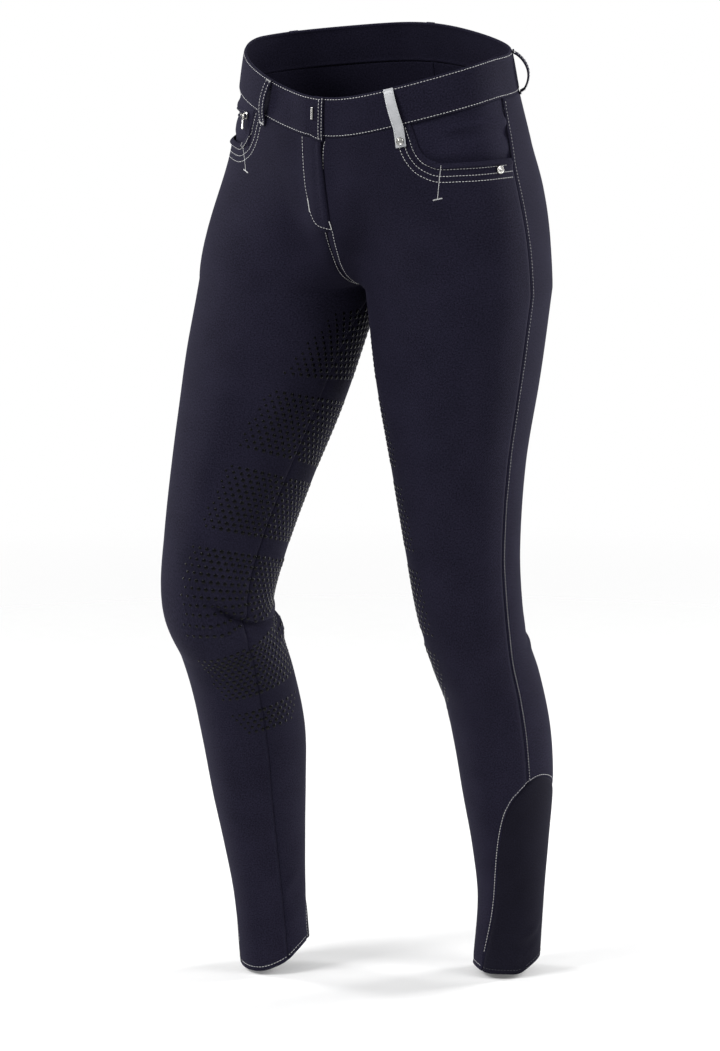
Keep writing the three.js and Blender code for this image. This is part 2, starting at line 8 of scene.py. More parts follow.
import bmesh
import bpy
import numpy as np
from mathutils import Matrix, Vector
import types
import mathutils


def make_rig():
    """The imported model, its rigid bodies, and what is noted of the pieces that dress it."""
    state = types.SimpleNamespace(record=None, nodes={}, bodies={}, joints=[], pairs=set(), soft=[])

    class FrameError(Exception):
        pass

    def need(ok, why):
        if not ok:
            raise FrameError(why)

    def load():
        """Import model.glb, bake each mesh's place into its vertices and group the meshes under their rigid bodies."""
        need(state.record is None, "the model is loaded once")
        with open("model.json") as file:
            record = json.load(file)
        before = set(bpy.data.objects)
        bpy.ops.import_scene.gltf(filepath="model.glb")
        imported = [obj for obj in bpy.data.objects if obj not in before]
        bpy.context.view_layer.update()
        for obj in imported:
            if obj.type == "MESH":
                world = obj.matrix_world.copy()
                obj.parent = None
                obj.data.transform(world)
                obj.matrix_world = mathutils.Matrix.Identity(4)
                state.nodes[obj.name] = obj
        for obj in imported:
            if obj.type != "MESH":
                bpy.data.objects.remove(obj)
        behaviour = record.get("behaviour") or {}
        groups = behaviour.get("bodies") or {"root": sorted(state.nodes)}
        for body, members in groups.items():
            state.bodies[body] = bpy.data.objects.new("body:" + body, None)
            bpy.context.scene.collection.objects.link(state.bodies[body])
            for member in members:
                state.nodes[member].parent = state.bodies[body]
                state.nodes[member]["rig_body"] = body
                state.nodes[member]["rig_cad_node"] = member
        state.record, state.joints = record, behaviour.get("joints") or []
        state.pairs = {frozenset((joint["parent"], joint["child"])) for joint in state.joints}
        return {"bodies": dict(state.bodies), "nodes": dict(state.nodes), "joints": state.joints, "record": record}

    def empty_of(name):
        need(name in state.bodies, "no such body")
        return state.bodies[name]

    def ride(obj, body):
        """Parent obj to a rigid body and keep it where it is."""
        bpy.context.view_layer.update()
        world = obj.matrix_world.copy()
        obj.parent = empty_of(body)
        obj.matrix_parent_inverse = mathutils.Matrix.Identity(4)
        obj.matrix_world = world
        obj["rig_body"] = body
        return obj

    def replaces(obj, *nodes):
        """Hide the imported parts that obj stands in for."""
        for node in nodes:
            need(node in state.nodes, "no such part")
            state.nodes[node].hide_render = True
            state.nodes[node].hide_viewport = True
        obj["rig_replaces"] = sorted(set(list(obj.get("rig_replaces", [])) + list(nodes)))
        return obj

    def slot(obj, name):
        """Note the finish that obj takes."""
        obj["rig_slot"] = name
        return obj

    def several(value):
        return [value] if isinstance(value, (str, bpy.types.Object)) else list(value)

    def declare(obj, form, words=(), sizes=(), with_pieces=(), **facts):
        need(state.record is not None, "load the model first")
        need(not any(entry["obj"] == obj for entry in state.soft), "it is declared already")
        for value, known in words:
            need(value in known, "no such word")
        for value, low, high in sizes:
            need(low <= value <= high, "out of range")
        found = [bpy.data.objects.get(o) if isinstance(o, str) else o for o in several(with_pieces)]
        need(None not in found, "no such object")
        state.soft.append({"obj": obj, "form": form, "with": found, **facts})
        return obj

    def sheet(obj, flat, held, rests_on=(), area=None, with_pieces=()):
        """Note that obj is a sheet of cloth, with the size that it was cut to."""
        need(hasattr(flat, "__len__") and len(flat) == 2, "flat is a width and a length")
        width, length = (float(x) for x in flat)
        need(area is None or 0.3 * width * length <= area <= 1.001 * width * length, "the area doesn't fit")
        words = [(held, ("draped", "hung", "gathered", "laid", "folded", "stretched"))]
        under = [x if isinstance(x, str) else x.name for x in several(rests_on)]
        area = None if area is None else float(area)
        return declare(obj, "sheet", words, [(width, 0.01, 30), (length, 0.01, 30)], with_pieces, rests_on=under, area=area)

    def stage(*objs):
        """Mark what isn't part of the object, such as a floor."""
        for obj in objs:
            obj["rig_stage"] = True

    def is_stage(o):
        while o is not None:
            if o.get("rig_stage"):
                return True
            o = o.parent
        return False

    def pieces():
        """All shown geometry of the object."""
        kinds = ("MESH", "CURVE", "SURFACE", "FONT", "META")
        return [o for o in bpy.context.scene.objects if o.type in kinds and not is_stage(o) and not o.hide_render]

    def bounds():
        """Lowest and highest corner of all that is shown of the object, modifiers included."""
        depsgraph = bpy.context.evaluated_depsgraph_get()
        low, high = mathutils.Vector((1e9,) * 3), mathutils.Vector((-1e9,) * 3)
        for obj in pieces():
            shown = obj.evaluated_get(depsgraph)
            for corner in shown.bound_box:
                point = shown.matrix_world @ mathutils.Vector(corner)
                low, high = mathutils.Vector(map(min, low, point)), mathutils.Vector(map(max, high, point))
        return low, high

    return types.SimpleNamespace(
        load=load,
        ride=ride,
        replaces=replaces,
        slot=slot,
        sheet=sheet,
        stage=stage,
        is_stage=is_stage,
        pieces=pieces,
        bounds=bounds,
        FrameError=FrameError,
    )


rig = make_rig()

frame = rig.load()
cad_low, cad_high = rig.bounds()
MM = 0.001
print("nodes in the frame:", len(frame["nodes"]))

# %% [markdown]
# The camera comes first, so that every piece can be judged as it is made. A long lens from five and a
# half metres, a little above the waist and to the wearer's left, flattens the figure as in a catalogue.

# %% Camera
AZIMUTH = math.radians(34)
ELEVATION = math.radians(12.5)
DISTANCE = 5.5
LENS = 186.5
AIM_RIGHT = -0.0182
AIM_UP = -0.4843

camera_data = bpy.data.cameras.new("camera")
camera = bpy.data.objects.new("camera", camera_data)
bpy.context.scene.collection.objects.link(camera)
back = Vector((
    math.sin(AZIMUTH) * math.cos(ELEVATION),
    -math.cos(AZIMUTH) * math.cos(ELEVATION),
    math.sin(ELEVATION),
))
right = Vector((math.cos(AZIMUTH), math.sin(AZIMUTH), 0))
upward = back.cross(right)
camera.location = right * AIM_RIGHT + upward * AIM_UP + back * DISTANCE
camera.rotation_mode = "QUATERNION"
camera.rotation_quaternion = back.to_track_quat("Z", "Y")
camera_data.lens = LENS
camera_data.sensor_width = 36
bpy.context.scene.camera = camera
print("camera at", tuple(round(x, 3) for x in camera.location))

# %% [markdown]
# A pair of trousers is drafted flat and sewn into two tubes that meet in a curved rise. Here each half
# is one smooth surface with two coordinates, and every cut piece is a patch of it. u runs round the
# half, from the front centre or inseam (0) past the side seam (0.5) to the back centre or inseam (1).
# v runs down it: 2 at the top of the band, 1 at the waist seam, 0 at the crotch, and below the crotch
# minus the millimetres down the leg. The same sizes made the solids, so the cloth lies on them.

# %% Driving sizes, in millimetres
CROTCH_Z = -242
SIDE_RISE = 201
FRONT_RISE = 161
BACK_RISE = 215
BAND = 41
CROTCH_Y = 5
BLEND = 0.72
LEG_LENGTH = 744
CLOTH = 1.5
BAND_WALL = 2.4
BAND_PROUD = 0.6
BAND_OVER = 2.8
FACING_DROP = 2.1


def table(columns, *rows):
    """A short table as arrays, one for each named column."""
    return dict(zip(columns.split(), np.array(rows, float).T))


TRUNK = table(
    "up half front back",
    (0, 168, 82, 132),
    (50, 171, 88, 143),
    (100, 167, 95, 140),
    (150, 160, 100, 121),
    (201, 150, 101, 104),
    (242, 143, 100, 95),
)
GIRTH = table(
    "down inner outer front back",
    (0, 90, 90, 86, 106),
    (90, 83, 82, 80, 90),
    (180, 71, 71, 73, 74),
    (270, 60, 61, 65, 62),
    (330, 53, 55, 59, 54),
    (380, 51, 51, 54, 53),
    (430, 49, 49, 50, 57),
    (490, 48, 48, 47, 60),
    (550, 44, 44, 44, 55),
    (610, 38, 38, 40, 46),
    (670, 34, 34, 37, 39),
    (744, 34, 34, 38, 38),
)
POSE = {
    "right": table(
        "down x y z yaw fill",
        (0, 90, -30, 0, 0, 1),
        (90, 97, -60, -90, -6, 1),
        (180, 104, -90, -178, -12, 0.99),
        (270, 109, -116, -264, -20, 0.98),
        (330, 111, -125, -323, -24, 1),
        (380, 112, -104, -370, -28, 0.99),
        (430, 112, -88, -417, -30, 1),
        (490, 111, -75, -475, -30, 1),
        (550, 111, -64, -534, -30, 0.99),
        (610, 111, -51, -592, -30, 1),
        (670, 111, -39, -651, -30, 1),
        (744, 111, -28, -724, -30, 0.98),
    ),
    "left": table(
        "down x y z yaw fill",
        (0, 90, 8, 0, 0, 1),
        (90, 96, 0, -90, -4, 0.97),
        (180, 99, 0, -180, -8, 0.92),
        (270, 102, 6, -270, -12, 0.91),
        (330, 104, 16, -329, -14, 0.95),
        (380, 106, 30, -376, -16, 0.95),
        (430, 107, 49, -421, -18, 0.95),
        (490, 107, 66, -479, -20, 0.95),
        (550, 107, 78, -538, -22, 0.96),
        (610, 106, 88, -597, -24, 0.94),
        (670, 104, 95, -657, -24, 0.92),
        (744, 99, 96, -731, -24, 0.93),
    ),
}
HEM = table(
    "u right left",
    (0, -3, -3),
    (0.06, 1, -1),
    (0.13, 5, 0),
    (0.21, 6, 0),
    (0.3, 5, 2),
    (0.39, 2, 1),
    (0.48, -3, 1),
    (0.57, -8, -7),
    (0.66, -12, -12),
    (0.8, -16, -13),
    (0.88, -16, -9),
    (0.94, -11, -6),
    (1, -3, -3),
)
ARC = table(
    "u down",
    (0.278, 744),
    (0.312, 696),
    (0.344, 640),
    (0.375, 592),
    (0.406, 560),
    (0.45, 540),
    (0.54, 527),
    (0.63, 538),
    (0.7, 562),
    (0.76, 608),
    (0.82, 682),
    (0.87, 744),
)
SCOOP = table(
    "u v",
    (0.27, 1),
    (0.279, 0.93),
    (0.287, 0.865),
    (0.3, 0.81),
    (0.315, 0.778),
    (0.33, 0.758),
    (0.365, 0.744),
    (0.41, 0.728),
    (0.5, 0.705),
)
print("side seam, mm:", SIDE_RISE + LEG_LENGTH, "below a band of", BAND)

# %% [markdown]
# The tables give a size at a few stops only. Straight lines between them would show as rings round the
# leg, so a smooth curve runs through the rows. A bell is the shape of a crease, a seam or a groove.

# %% Reading a table smoothly
def read(rows, stop, key, at):
    """Values of one column at any stop, on a smooth curve through the rows."""
    stops = rows[stop]
    values = rows[key]
    at = np.asarray(at, float)
    slopes = np.empty_like(values)
    slopes[1:-1] = (values[2:] - values[:-2]) / (stops[2:] - stops[:-2])
    slopes[0] = (values[1] - values[0]) / (stops[1] - stops[0])
    slopes[-1] = (values[-1] - values[-2]) / (stops[-1] - stops[-2])
    i = np.searchsorted(stops[1:-1], at, side="left")
    span = stops[i + 1] - stops[i]
    t = (at - stops[i]) / span
    return (
        (2 * t**3 - 3 * t**2 + 1) * values[i]
        + (t**3 - 2 * t**2 + t) * span * slopes[i]
        + (3 * t**2 - 2 * t**3) * values[i + 1]
        + (t**3 - t**2) * span * slopes[i + 1]
    )


def ease(x):
    c = np.clip(x, 0, 1)
    return c * c * (3 - 2 * c)


def bell(x, wide):
    """A bump of height 1 at 0 that has fallen to about a third at wide."""
    return np.exp(-((x / wide) ** 2))


def unit(a):
    return a / np.linalg.norm(a, axis=-1, keepdims=True)


def sign_of(side):
    return 1 if side == "left" else -1


print("half width 75 mm below the waist seam:", round(float(read(TRUNK, "up", "half", SIDE_RISE - 75)), 1))

# %% [markdown]
# The sections of leg and trunk are ovals with slightly flattened sides. They could be curves, lofted into
# a tube, but a piece would then have no coordinates to lie on. A formula gives the point for any u and
# v, and with it every seam and stitch. Beside the centre lines the two halves are drawn to the middle,
# so that they meet along the rise, and below the crotch the inseams part over INSEAM_REACH.

# %% The surface of one half
LEG_POWER = 2.2
TRUNK_POWER = 2.3
AXIS_TURN = 160
EDGE_SHARE = 0.16
INSEAM_REACH = 90
WAIST_DIP = 1.6
CENTRE_BOW = 3.2
CENTRE_SOFT = 0.3
TRUNK_SPAN = 450
THIGH_SPAN = 540
SPAN_TAPER = 0.42


def oval(a, b, power):
    """How far the oval reaches; a and b are the direction's parts over the half widths."""
    return (np.abs(a) ** power + np.abs(b) ** power) ** (-1 / power)


def leg_centre(side, down):
    pose = POSE[side]
    return np.stack([
        sign_of(side) * read(pose, "down", "x", down),
        read(pose, "down", "y", down),
        read(pose, "down", "z", down) + CROTCH_Z,
    ], axis=-1)


def leg_point(side, u, down):
    along = unit(
        leg_centre(side, np.minimum(down + 4, LEG_LENGTH + 8)) - leg_centre(side, np.maximum(down - 4, 0))
    )
    k = ease(down / AXIS_TURN)[..., None]
    axis = unit(along * k + np.array([0, 0, -1.0]) * (1 - k))
    yaw = np.radians(read(POSE[side], "down", "yaw", down))
    ahead = np.stack([np.sin(yaw), -np.cos(yaw), 0 * yaw], axis=-1)
    front = unit(ahead - axis * np.sum(ahead * axis, axis=-1, keepdims=True))
    left = np.cross(front, axis)
    c = np.cos(2 * np.pi * u)
    s = np.sin(2 * np.pi * u)
    fill = read(POSE[side], "down", "fill", down)
    wide = fill * np.where(c > 0, read(GIRTH, "down", "inner", down), read(GIRTH, "down", "outer", down))
    deep = fill * np.where(s > 0, read(GIRTH, "down", "front", down), read(GIRTH, "down", "back", down))
    r = oval(c / wide, s / deep, LEG_POWER)
    across = (-sign_of(side) * r * c)[..., None]
    return leg_centre(side, down) + left * across + front * (r * s)[..., None]


def trunk_point(side, u, up):
    c = np.cos(np.pi * u)
    s = np.sin(np.pi * u)
    half = read(TRUNK, "up", "half", up)
    deep = np.where(c > 0, read(TRUNK, "up", "front", up), read(TRUNK, "up", "back", up))
    r = oval(s / half, c / deep, TRUNK_POWER)
    return sign_of(side) * r * s, -r * c


def surface(side, u, v):
    """Points of the outer surface in millimetres, for arrays of u and v of one shape."""
    u, v = np.broadcast_arrays(np.asarray(u, float), np.asarray(v, float))
    edge = ease(np.maximum(np.maximum(1 - u / EDGE_SHARE, 1 - (1 - u) / EDGE_SHARE), 0))
    zero = np.zeros_like(u)
    crotch_y = leg_point(side, zero, zero)[..., 1]
    below = leg_point(side, u, np.maximum(-v, 0))
    below[..., 1] += edge * (1 - np.clip(-v / INSEAM_REACH, 0, 1)) ** 2 * (CROTCH_Y - crotch_y)
    c = np.cos(np.pi * u)
    high = np.clip(v, 0, 1)
    over = np.maximum(v - 1, 0) * BAND
    rise = SIDE_RISE - (SIDE_RISE - FRONT_RISE) * np.maximum(0, c) ** WAIST_DIP
    rise = rise + np.where(u > 0.5, (BACK_RISE - SIDE_RISE) * c * c, 0)
    up = high * SIDE_RISE + over
    trunk_x, trunk_y = trunk_point(side, u, up)
    leg = leg_point(side, u, zero)
    share = 1 - ease(high / BLEND)
    x = (1 - share) * trunk_x + share * leg[..., 0]
    y = (1 - share) * trunk_y + share * leg[..., 1]
    z = CROTCH_Z + high * rise + over
    bend = 1 - (1 - np.clip(high / BLEND, 0, 1)) ** CENTRE_BOW
    centre_line = trunk_point(side, np.where(u < 0.5, 0.0, 1.0), up)[1]
    plain = (1 - share) * centre_line + share * crotch_y
    y = y + edge * (CROTCH_Y + (centre_line - CROTCH_Y) * bend - plain)
    z = z + edge * ((1 + CENTRE_SOFT) * high * high / (high + CENTRE_SOFT) - high) * rise
    above = np.stack([x, y, z], axis=-1)
    return np.where((v <= 0)[..., None], below, above)


def outward(side, u, v):
    """Unit directions out of the surface; along the centre lines they have no sideways part."""
    u, v = np.broadcast_arrays(np.asarray(u, float), np.asarray(v, float))
    du = 0.004
    dv = 0.012
    drop = 2.5
    across = surface(side, np.minimum(u + du, 1), v) - surface(side, np.maximum(u - du, 0), v)
    above = np.where(v > 0, np.minimum(v + dv, 2.1), np.where(v + drop > 0, dv, v + drop))
    below = np.where(v > 0, np.where(v - dv < 0, -drop, v - dv), v - drop)
    down = surface(side, u, below) - surface(side, u, above)
    n = np.cross(across, down) * -sign_of(side)
    centre = (v >= 0) & ((u < 0.002) | (u > 0.998))
    n[..., 0] = np.where(centre, 0, n[..., 0])
    return unit(n)


def fall_of(v):
    """Rough millimetres below the crotch; the waist seam is at -201."""
    return np.where(v > 1, -SIDE_RISE - (v - 1) * BAND, np.where(v > 0, -v * SIDE_RISE, -v))


def span_of(v):
    """Rough millimetres that one unit of u spans."""
    return np.where(v > 0, TRUNK_SPAN, THIGH_SPAN + v * SPAN_TAPER)


low = surface("left", 0.25, -LEG_LENGTH)
print("front of the left hem, mm:", low.round(1))

# %% [markdown]
# Stretch cloth on a filled leg hardly creases: only the bent knee and the crotch pull it into folds.
# Each crease is one row: where it starts and ends, in u and in millimetres below the crotch, how far
# it bows, how wide it is and how high (+) or deep (-). They could be sculpted or simulated, but rows
# like these put each fold where the photograph shows it, and give the same folds each run.

# %% Creases
CREASE_TAPER = 0.3
CREASES = {
    "right": table(
        "u0 fall0 u1 fall1 bow wide deep",
        (0.15, 318, -0.1, 362, 3, 7, -3.4),
        (0.15, 330, -0.1, 374, 3, 7, 2.2),
        (-0.1, 372, -0.32, 366, 8, 8, -2.6),
        (-0.1, 384, -0.34, 380, 8, 8, 2.2),
        (-0.12, 356, -0.36, 350, 8, 9, 1.8),
        (0.15, 318, -0.19, 366, 2, 2.4, -5.5),
        (0.14, 311, -0.16, 354, 2, 5, 2.6),
        (0.17, 326, 0.02, 348, 2, 4, 1.8),
        (0.1, 300, -0.02, 322, 5, 8, 0.9),
        (0.1, 352, -0.12, 392, 8, 7, -0.9),
        (0.02, 264, -0.17, 286, 3, 3.5, 1.3),
        (0.02, 270, -0.15, 293, 3, 4, -0.9),
        (-0.14, 372, -0.36, 366, 5, 3, -1.8),
        (0.36, 352, 0.6, 372, -8, 10, -1.2),
        (0.34, 336, 0.62, 352, -8, 11, 1),
        (0.62, 300, 0.84, 330, 8, 12, 1),
        (0.66, 400, 0.9, 372, -7, 10, 1.1),
        (0.02, 676, -0.12, 640, 4, 6, 0.9),
        (0.05, 712, -0.1, 690, 4, 6, 0.8),
        (0.16, 724, 0, 712, 3, 5, 0.7),
        (0.62, 660, 0.86, 690, 6, 9, -0.8),
    ),
    "left": table(
        "u0 fall0 u1 fall1 bow wide deep",
        (-0.14, 372, -0.4, 378, 8, 9, -1.8),
        (-0.12, 388, -0.42, 394, 8, 9, 1.6),
        (0.2, 356, -0.06, 340, 8, 8, -1),
        (0.2, 372, -0.08, 360, 8, 9, 1),
        (0.18, 404, -0.06, 396, 6, 8, 0.8),
        (-0.18, 376, -0.4, 381, 6, 3, -1.4),
        (-0.08, 352, -0.3, 340, 6, 9, 1),
        (0.36, 704, 0.62, 690, 8, 4, 1.9),
        (0.34, 716, 0.6, 706, 8, 5, -1.4),
        (0.33, 732, 0.5, 726, 4, 5, 0.8),
        (0.66, 672, 0.9, 700, 8, 8, 0.8),
    ),
}


def creased(side, u, v):
    """Height of the creases above the plain surface, in millimetres."""
    fall = fall_of(v)
    total = np.zeros(np.shape(u))
    rows = CREASES[side]
    for k in range(len(rows["u0"])):
        row = {name: column[k] for name, column in rows.items()}
        around = float(span_of(-row["fall0"]))
        down = row["fall1"] - row["fall0"]
        for turn in (-1, 0, 1):
            start = (row["u0"] + turn) * around
            across = (row["u1"] + turn) * around - start
            length = math.hypot(across, down)
            tx = across / length
            ty = down / length
            px = u * around - start
            py = fall - row["fall0"]
            t = (px * tx + py * ty) / length
            off = px * -ty + py * tx - row["bow"] * 4 * t * (1 - t)
            taper = ease(t / CREASE_TAPER) * ease((1 - t) / CREASE_TAPER)
            total = total + row["deep"] * taper * bell(off, row["wide"])
    return total


print("creases:", sum(len(rows["u0"]) for rows in CREASES.values()))

# %% [markdown]
# Where two pieces are sewn the cloth rolls in, and at the pocket mouth it is folded back so that its
# edge stands proud. The right front laps over the left along the fly. Bevelled edges could show this,
# but here all of it is one function of u and v, so the panels, their stitches and the print on them
# share exactly the same skin.

# %% The skin of the panels
FLY_PROUD = 2.6
FLY_OVER = 8.4
FLY_END = 0.51
FLY_DROP = 4
FLY_EDGE = 0.5
LAP_TOP = 0.97
LAP_LEAST = 0.06
MIDDLE_REACH = 30
WAIST_TOP = 1
WAIST_END = 0.68
SEAM_ROLL = 1.1
SEAM_REACH = 2.2
MOUTH_FOLD = 2.1
MOUTH_REACH = 6.4
MOUTH_ROUND = 0.9
HEM_TUCK = 4.5
HEM_GROOVE = 0.45
ARC_START = ARC["u"][0]
ARC_END = ARC["u"][-1]
SCOOP_START = SCOOP["u"][0]
ANKLE_SPAN = 232


def hem_at(side, u):
    return -(LEG_LENGTH + read(HEM, "u", side, u))


def arc_at(side, u):
    """v where a panel ends: on the insert's arc, or at the hem beside it."""
    arc = -read(ARC, "u", "down", np.clip(u, ARC_START, ARC_END))
    outside = (u < ARC_START) | (u > ARC_END)
    return np.where(outside, hem_at(side, u), np.maximum(arc, hem_at(side, u) + 1))


def mouth_at(u):
    scoop = read(SCOOP, "u", "v", np.clip(u, SCOOP_START, 0.5))
    return np.where(u <= SCOOP_START, WAIST_TOP, np.minimum(WAIST_TOP, scoop))


def slope_of(edge, u, scale, span):
    """How steeply an edge runs across the cloth."""
    step = 0.002
    return (edge(u + step) - edge(u - step)) * scale / (2 * step * span)


def roll(distance):
    """How far the cloth rolls in, by the distance from a seam in millimetres."""
    return -SEAM_ROLL * bell(distance, SEAM_REACH)


def hem_groove(side, u, v):
    """How deep the hem's row pulls the cloth in."""
    return HEM_GROOVE * bell(v - hem_at(side, u) - HEM_TUCK, 0.9)


def skin_height(side, u, v):
    """Height of the cloth's outer face above the plain surface, in millimetres."""
    around = span_of(v)
    height = creased(side, u, v)
    for seam in (0, 0.5, 1):
        height = height + roll((u - seam) * around)
    arc = arc_at(side, u)
    steep = slope_of(lambda at: arc_at(side, at), u, 1, ANKLE_SPAN)
    over_insert = (u > ARC_START) & (u < ARC_END)
    height = height + np.where(over_insert, roll((v - arc) / np.hypot(1, steep)), 0)
    height = height - np.where(over_insert, 0, hem_groove(side, u, v))
    steep = slope_of(mouth_at, u, SIDE_RISE, TRUNK_SPAN)
    under = (mouth_at(u) - v) * SIDE_RISE / np.hypot(1, steep)
    rolled = MOUTH_FOLD * ease(under / 4.5) + MOUTH_ROUND * (1 - np.exp(-under / 0.7)) - MOUTH_ROUND
    fold = rolled * ease((MOUTH_REACH - under) / 1.6) - 0.3 * bell(under - 6.6, 0.8)
    height = height + np.where((u > 0.265) & (u < 0.5) & (v > 0.5) & (v < 1), fold, 0)
    if side == "right":
        height = height + FLY_PROUD * ease(1 - u / 0.1) * ease((v - FLY_END + 0.06) / 0.08)
        lapped = ease((v - FLY_END) / 0.03)
        inwards = u * TRUNK_SPAN
        turned = FLY_EDGE * bell(inwards - 3.5, 2.5) - FLY_EDGE * ease(1 - u / 0.003)
        height = height + lapped * turned
        height = height - lapped * FLY_EDGE * bell(inwards - 9, 3)
    return height


def skin(side, u, v, lift=0.0):
    """Points of the cloth's outer face, raised by lift."""
    u, v = np.broadcast_arrays(np.asarray(u, float), np.asarray(v, float))
    n = outward(side, u, v)
    p = surface(side, u, v) + n * (skin_height(side, u, v) + lift)[..., None]
    sign = sign_of(side)
    p[..., 0] = np.where(v > -MIDDLE_REACH, sign * np.maximum(sign * p[..., 0], 0), p[..., 0])
    if side == "right":
        near = ease(1 - u / 0.03) * ease((v - FLY_END + 0.01) / 0.02)
        p[..., 0] += FLY_OVER * near * np.clip((LAP_TOP - v) / (LAP_TOP - FLY_END), LAP_LEAST, 1)
        p[..., 2] -= FLY_DROP * ease(1 - u / 0.045) * ease((v - 0.84) / 0.14)
    return p


print("pocket mouth at u 0.33 is at v", round(float(mouth_at(0.33)), 3))

# %% [markdown]
# Every material starts from what the real one is. Nodes could be set up by hand in the Shader Editor. In
# a script, one function turns sRGB hex colours to linear and one adds a node with its settings, its links
# and the values of its numbered sockets.

# %% Helpers for materials
def linear(hex_colour):
    parts = [int(hex_colour[k:k + 2], 16) / 255 for k in (1, 3, 5)]
    return (*[p / 12.92 if p <= 0.04045 else ((p + 0.055) / 1.055) ** 2.4 for p in parts], 1)


def add_node(tree, kind, links=None, values=None, **settings):
    """A node of one kind; settings name properties or sockets, values number sockets, links join them."""
    node = tree.nodes.new(kind)
    for name, value in settings.items():
        if hasattr(node, name):
            setattr(node, name, value)
        else:
            node.inputs[name.replace("_", " ")].default_value = value
    for number, value in (values or {}).items():
        node.inputs[number].default_value = value
    for name, source in (links or {}).items():
        tree.links.new(source, node.inputs[name])
    return node


def new_material(name):
    material = bpy.data.materials.new(name)
    material.use_nodes = True
    tree = material.node_tree
    tree.nodes.clear()
    return material, tree


def finish_material(tree, shader):
    add_node(tree, "ShaderNodeOutputMaterial", {"Surface": shader.outputs[0]})


print("mid grey, linear:", round(linear("#808080")[0], 3))

# %% [markdown]
# The cloth is a cotton and elastane twill dyed navy. Its threads run in fine slanting ribs, its yarn
# takes the dye a little unevenly, and its short nap catches the light along the edges of the leg.
# The ribs are about 0.6 mm apart; they are drawn at 1.3 mm so that they show.

# %% Navy stretch twill
THREAD = 1.3 * MM
WAVE_PERIOD = 0.31416


def twill(name, dark, light, rib=0.2):
    material, tree = new_material(name)
    uv = add_node(tree, "ShaderNodeUVMap", uv_map="cloth")
    turned = add_node(tree, "ShaderNodeMapping", {"Vector": uv.outputs[0]},
                      Rotation=(0, 0, math.radians(-58)))
    ribs = add_node(tree, "ShaderNodeTexWave", {"Vector": turned.outputs[0]},
                    Scale=WAVE_PERIOD / THREAD, Distortion=1.2, Detail=1.0)
    yarn = add_node(tree, "ShaderNodeTexNoise", {"Vector": uv.outputs[0]},
                    Scale=1 / (1.6 * MM), Detail=3.0, Roughness=0.65)
    dye = add_node(tree, "ShaderNodeTexNoise", {"Vector": uv.outputs[0]},
                   Scale=1 / (45 * MM), Detail=2.0, Roughness=0.5)
    uneven = add_node(tree, "ShaderNodeMath", {0: dye.outputs[0], 2: yarn.outputs[0]}, {1: 0.2},
                      operation="MULTIPLY_ADD")
    spread = add_node(tree, "ShaderNodeMapRange", {"Value": uneven.outputs[0]},
                      From_Min=0.38, From_Max=0.82)
    tint = add_node(tree, "ShaderNodeMix", {"Factor": spread.outputs[0]},
                    {6: linear(dark), 7: linear(light)}, data_type="RGBA")
    height = add_node(tree, "ShaderNodeMath", {0: ribs.outputs["Fac"], 1: yarn.outputs[0]},
                      operation="ADD")
    bump = add_node(tree, "ShaderNodeBump", {"Height": height.outputs[0]},
                    Strength=rib, Distance=0.3 * MM)
    shader = add_node(tree, "ShaderNodeBsdfPrincipled",
                      {"Base Color": tint.outputs[2], "Normal": bump.outputs[0]},
                      Roughness=0.85, IOR=1.45, Sheen_Weight=0.05, Sheen_Roughness=0.3,
                      Sheen_Tint=linear("#b6b2de"), Specular_IOR_Level=0.08)
    finish_material(tree, shader)
    return material


navy_twill = twill("navy_stretch_twill", "#0d0c18", "#272536")
facing_twill = twill("navy_pocket_twill", "#0e0d1a", "#292739")
print("twill ribs every", round(THREAD / MM, 2), "mm")

# %% [markdown]
# The ankle insert is a finer, smoother stretch knit that slides into a boot. It is a shade darker and its
# ribs hardly stand up, so the twill's own nodes serve, with a lower rib.

# %% Stretch knit
insert_knit = twill("navy_stretch_knit", "#0e0d16", "#1c1b27", rib=0.05)
print("insert knit:", insert_knit.name)

# %% [markdown]
# Sewing thread is spun polyester in off-white. It is bright against the navy and slightly glossy. A
# fine noise in the bump stands for its twist.

# %% Thread
def spun_thread(name, colour):
    material, tree = new_material(name)
    place = add_node(tree, "ShaderNodeTexCoord")
    twist = add_node(tree, "ShaderNodeTexNoise", {"Vector": place.outputs["Object"]},
                     Scale=1 / (0.7 * MM), Detail=1.0)
    bump = add_node(tree, "ShaderNodeBump", {"Height": twist.outputs[0]}, Strength=0.3, Distance=0.1 * MM)
    shader = add_node(tree, "ShaderNodeBsdfPrincipled", {"Normal": bump.outputs[0]},
                      Base_Color=linear(colour), Roughness=0.55, Sheen_Weight=0.2)
    finish_material(tree, shader)
    return material


white_thread = spun_thread("off_white_polyester_thread", "#d2d2d2")
navy_thread = spun_thread("navy_polyester_thread", "#1b1c2a")
print("threads:", white_thread.name, "and", navy_thread.name)

# %% [markdown]
# The gripping print is silicone, dropped on hot and cured: near-black, smooth and glossy, so that it
# glints where the leg turns away.

# %% Silicone
def cured_silicone():
    material, tree = new_material("cured_silicone")
    place = add_node(tree, "ShaderNodeTexCoord")
    cloud = add_node(tree, "ShaderNodeTexNoise", {"Vector": place.outputs["Object"]},
                     Scale=1 / (4 * MM), Detail=1.0)
    bump = add_node(tree, "ShaderNodeBump", {"Height": cloud.outputs[0]}, Strength=0.1, Distance=0.1 * MM)
    shader = add_node(tree, "ShaderNodeBsdfPrincipled", {"Normal": bump.outputs[0]},
                      Base_Color=linear("#030305"), Roughness=0.24, IOR=1.41, Specular_IOR_Level=0.16)
    finish_material(tree, shader)
    return material


silicone = cured_silicone()
print("print:", silicone.name)

# %% [markdown]
# The front left loop is a strip of silver-coated leatherette: grey, softly metallic, with a fine
# embossed grain. The rivets, fastener and zip pull are nickel-plated and polished.

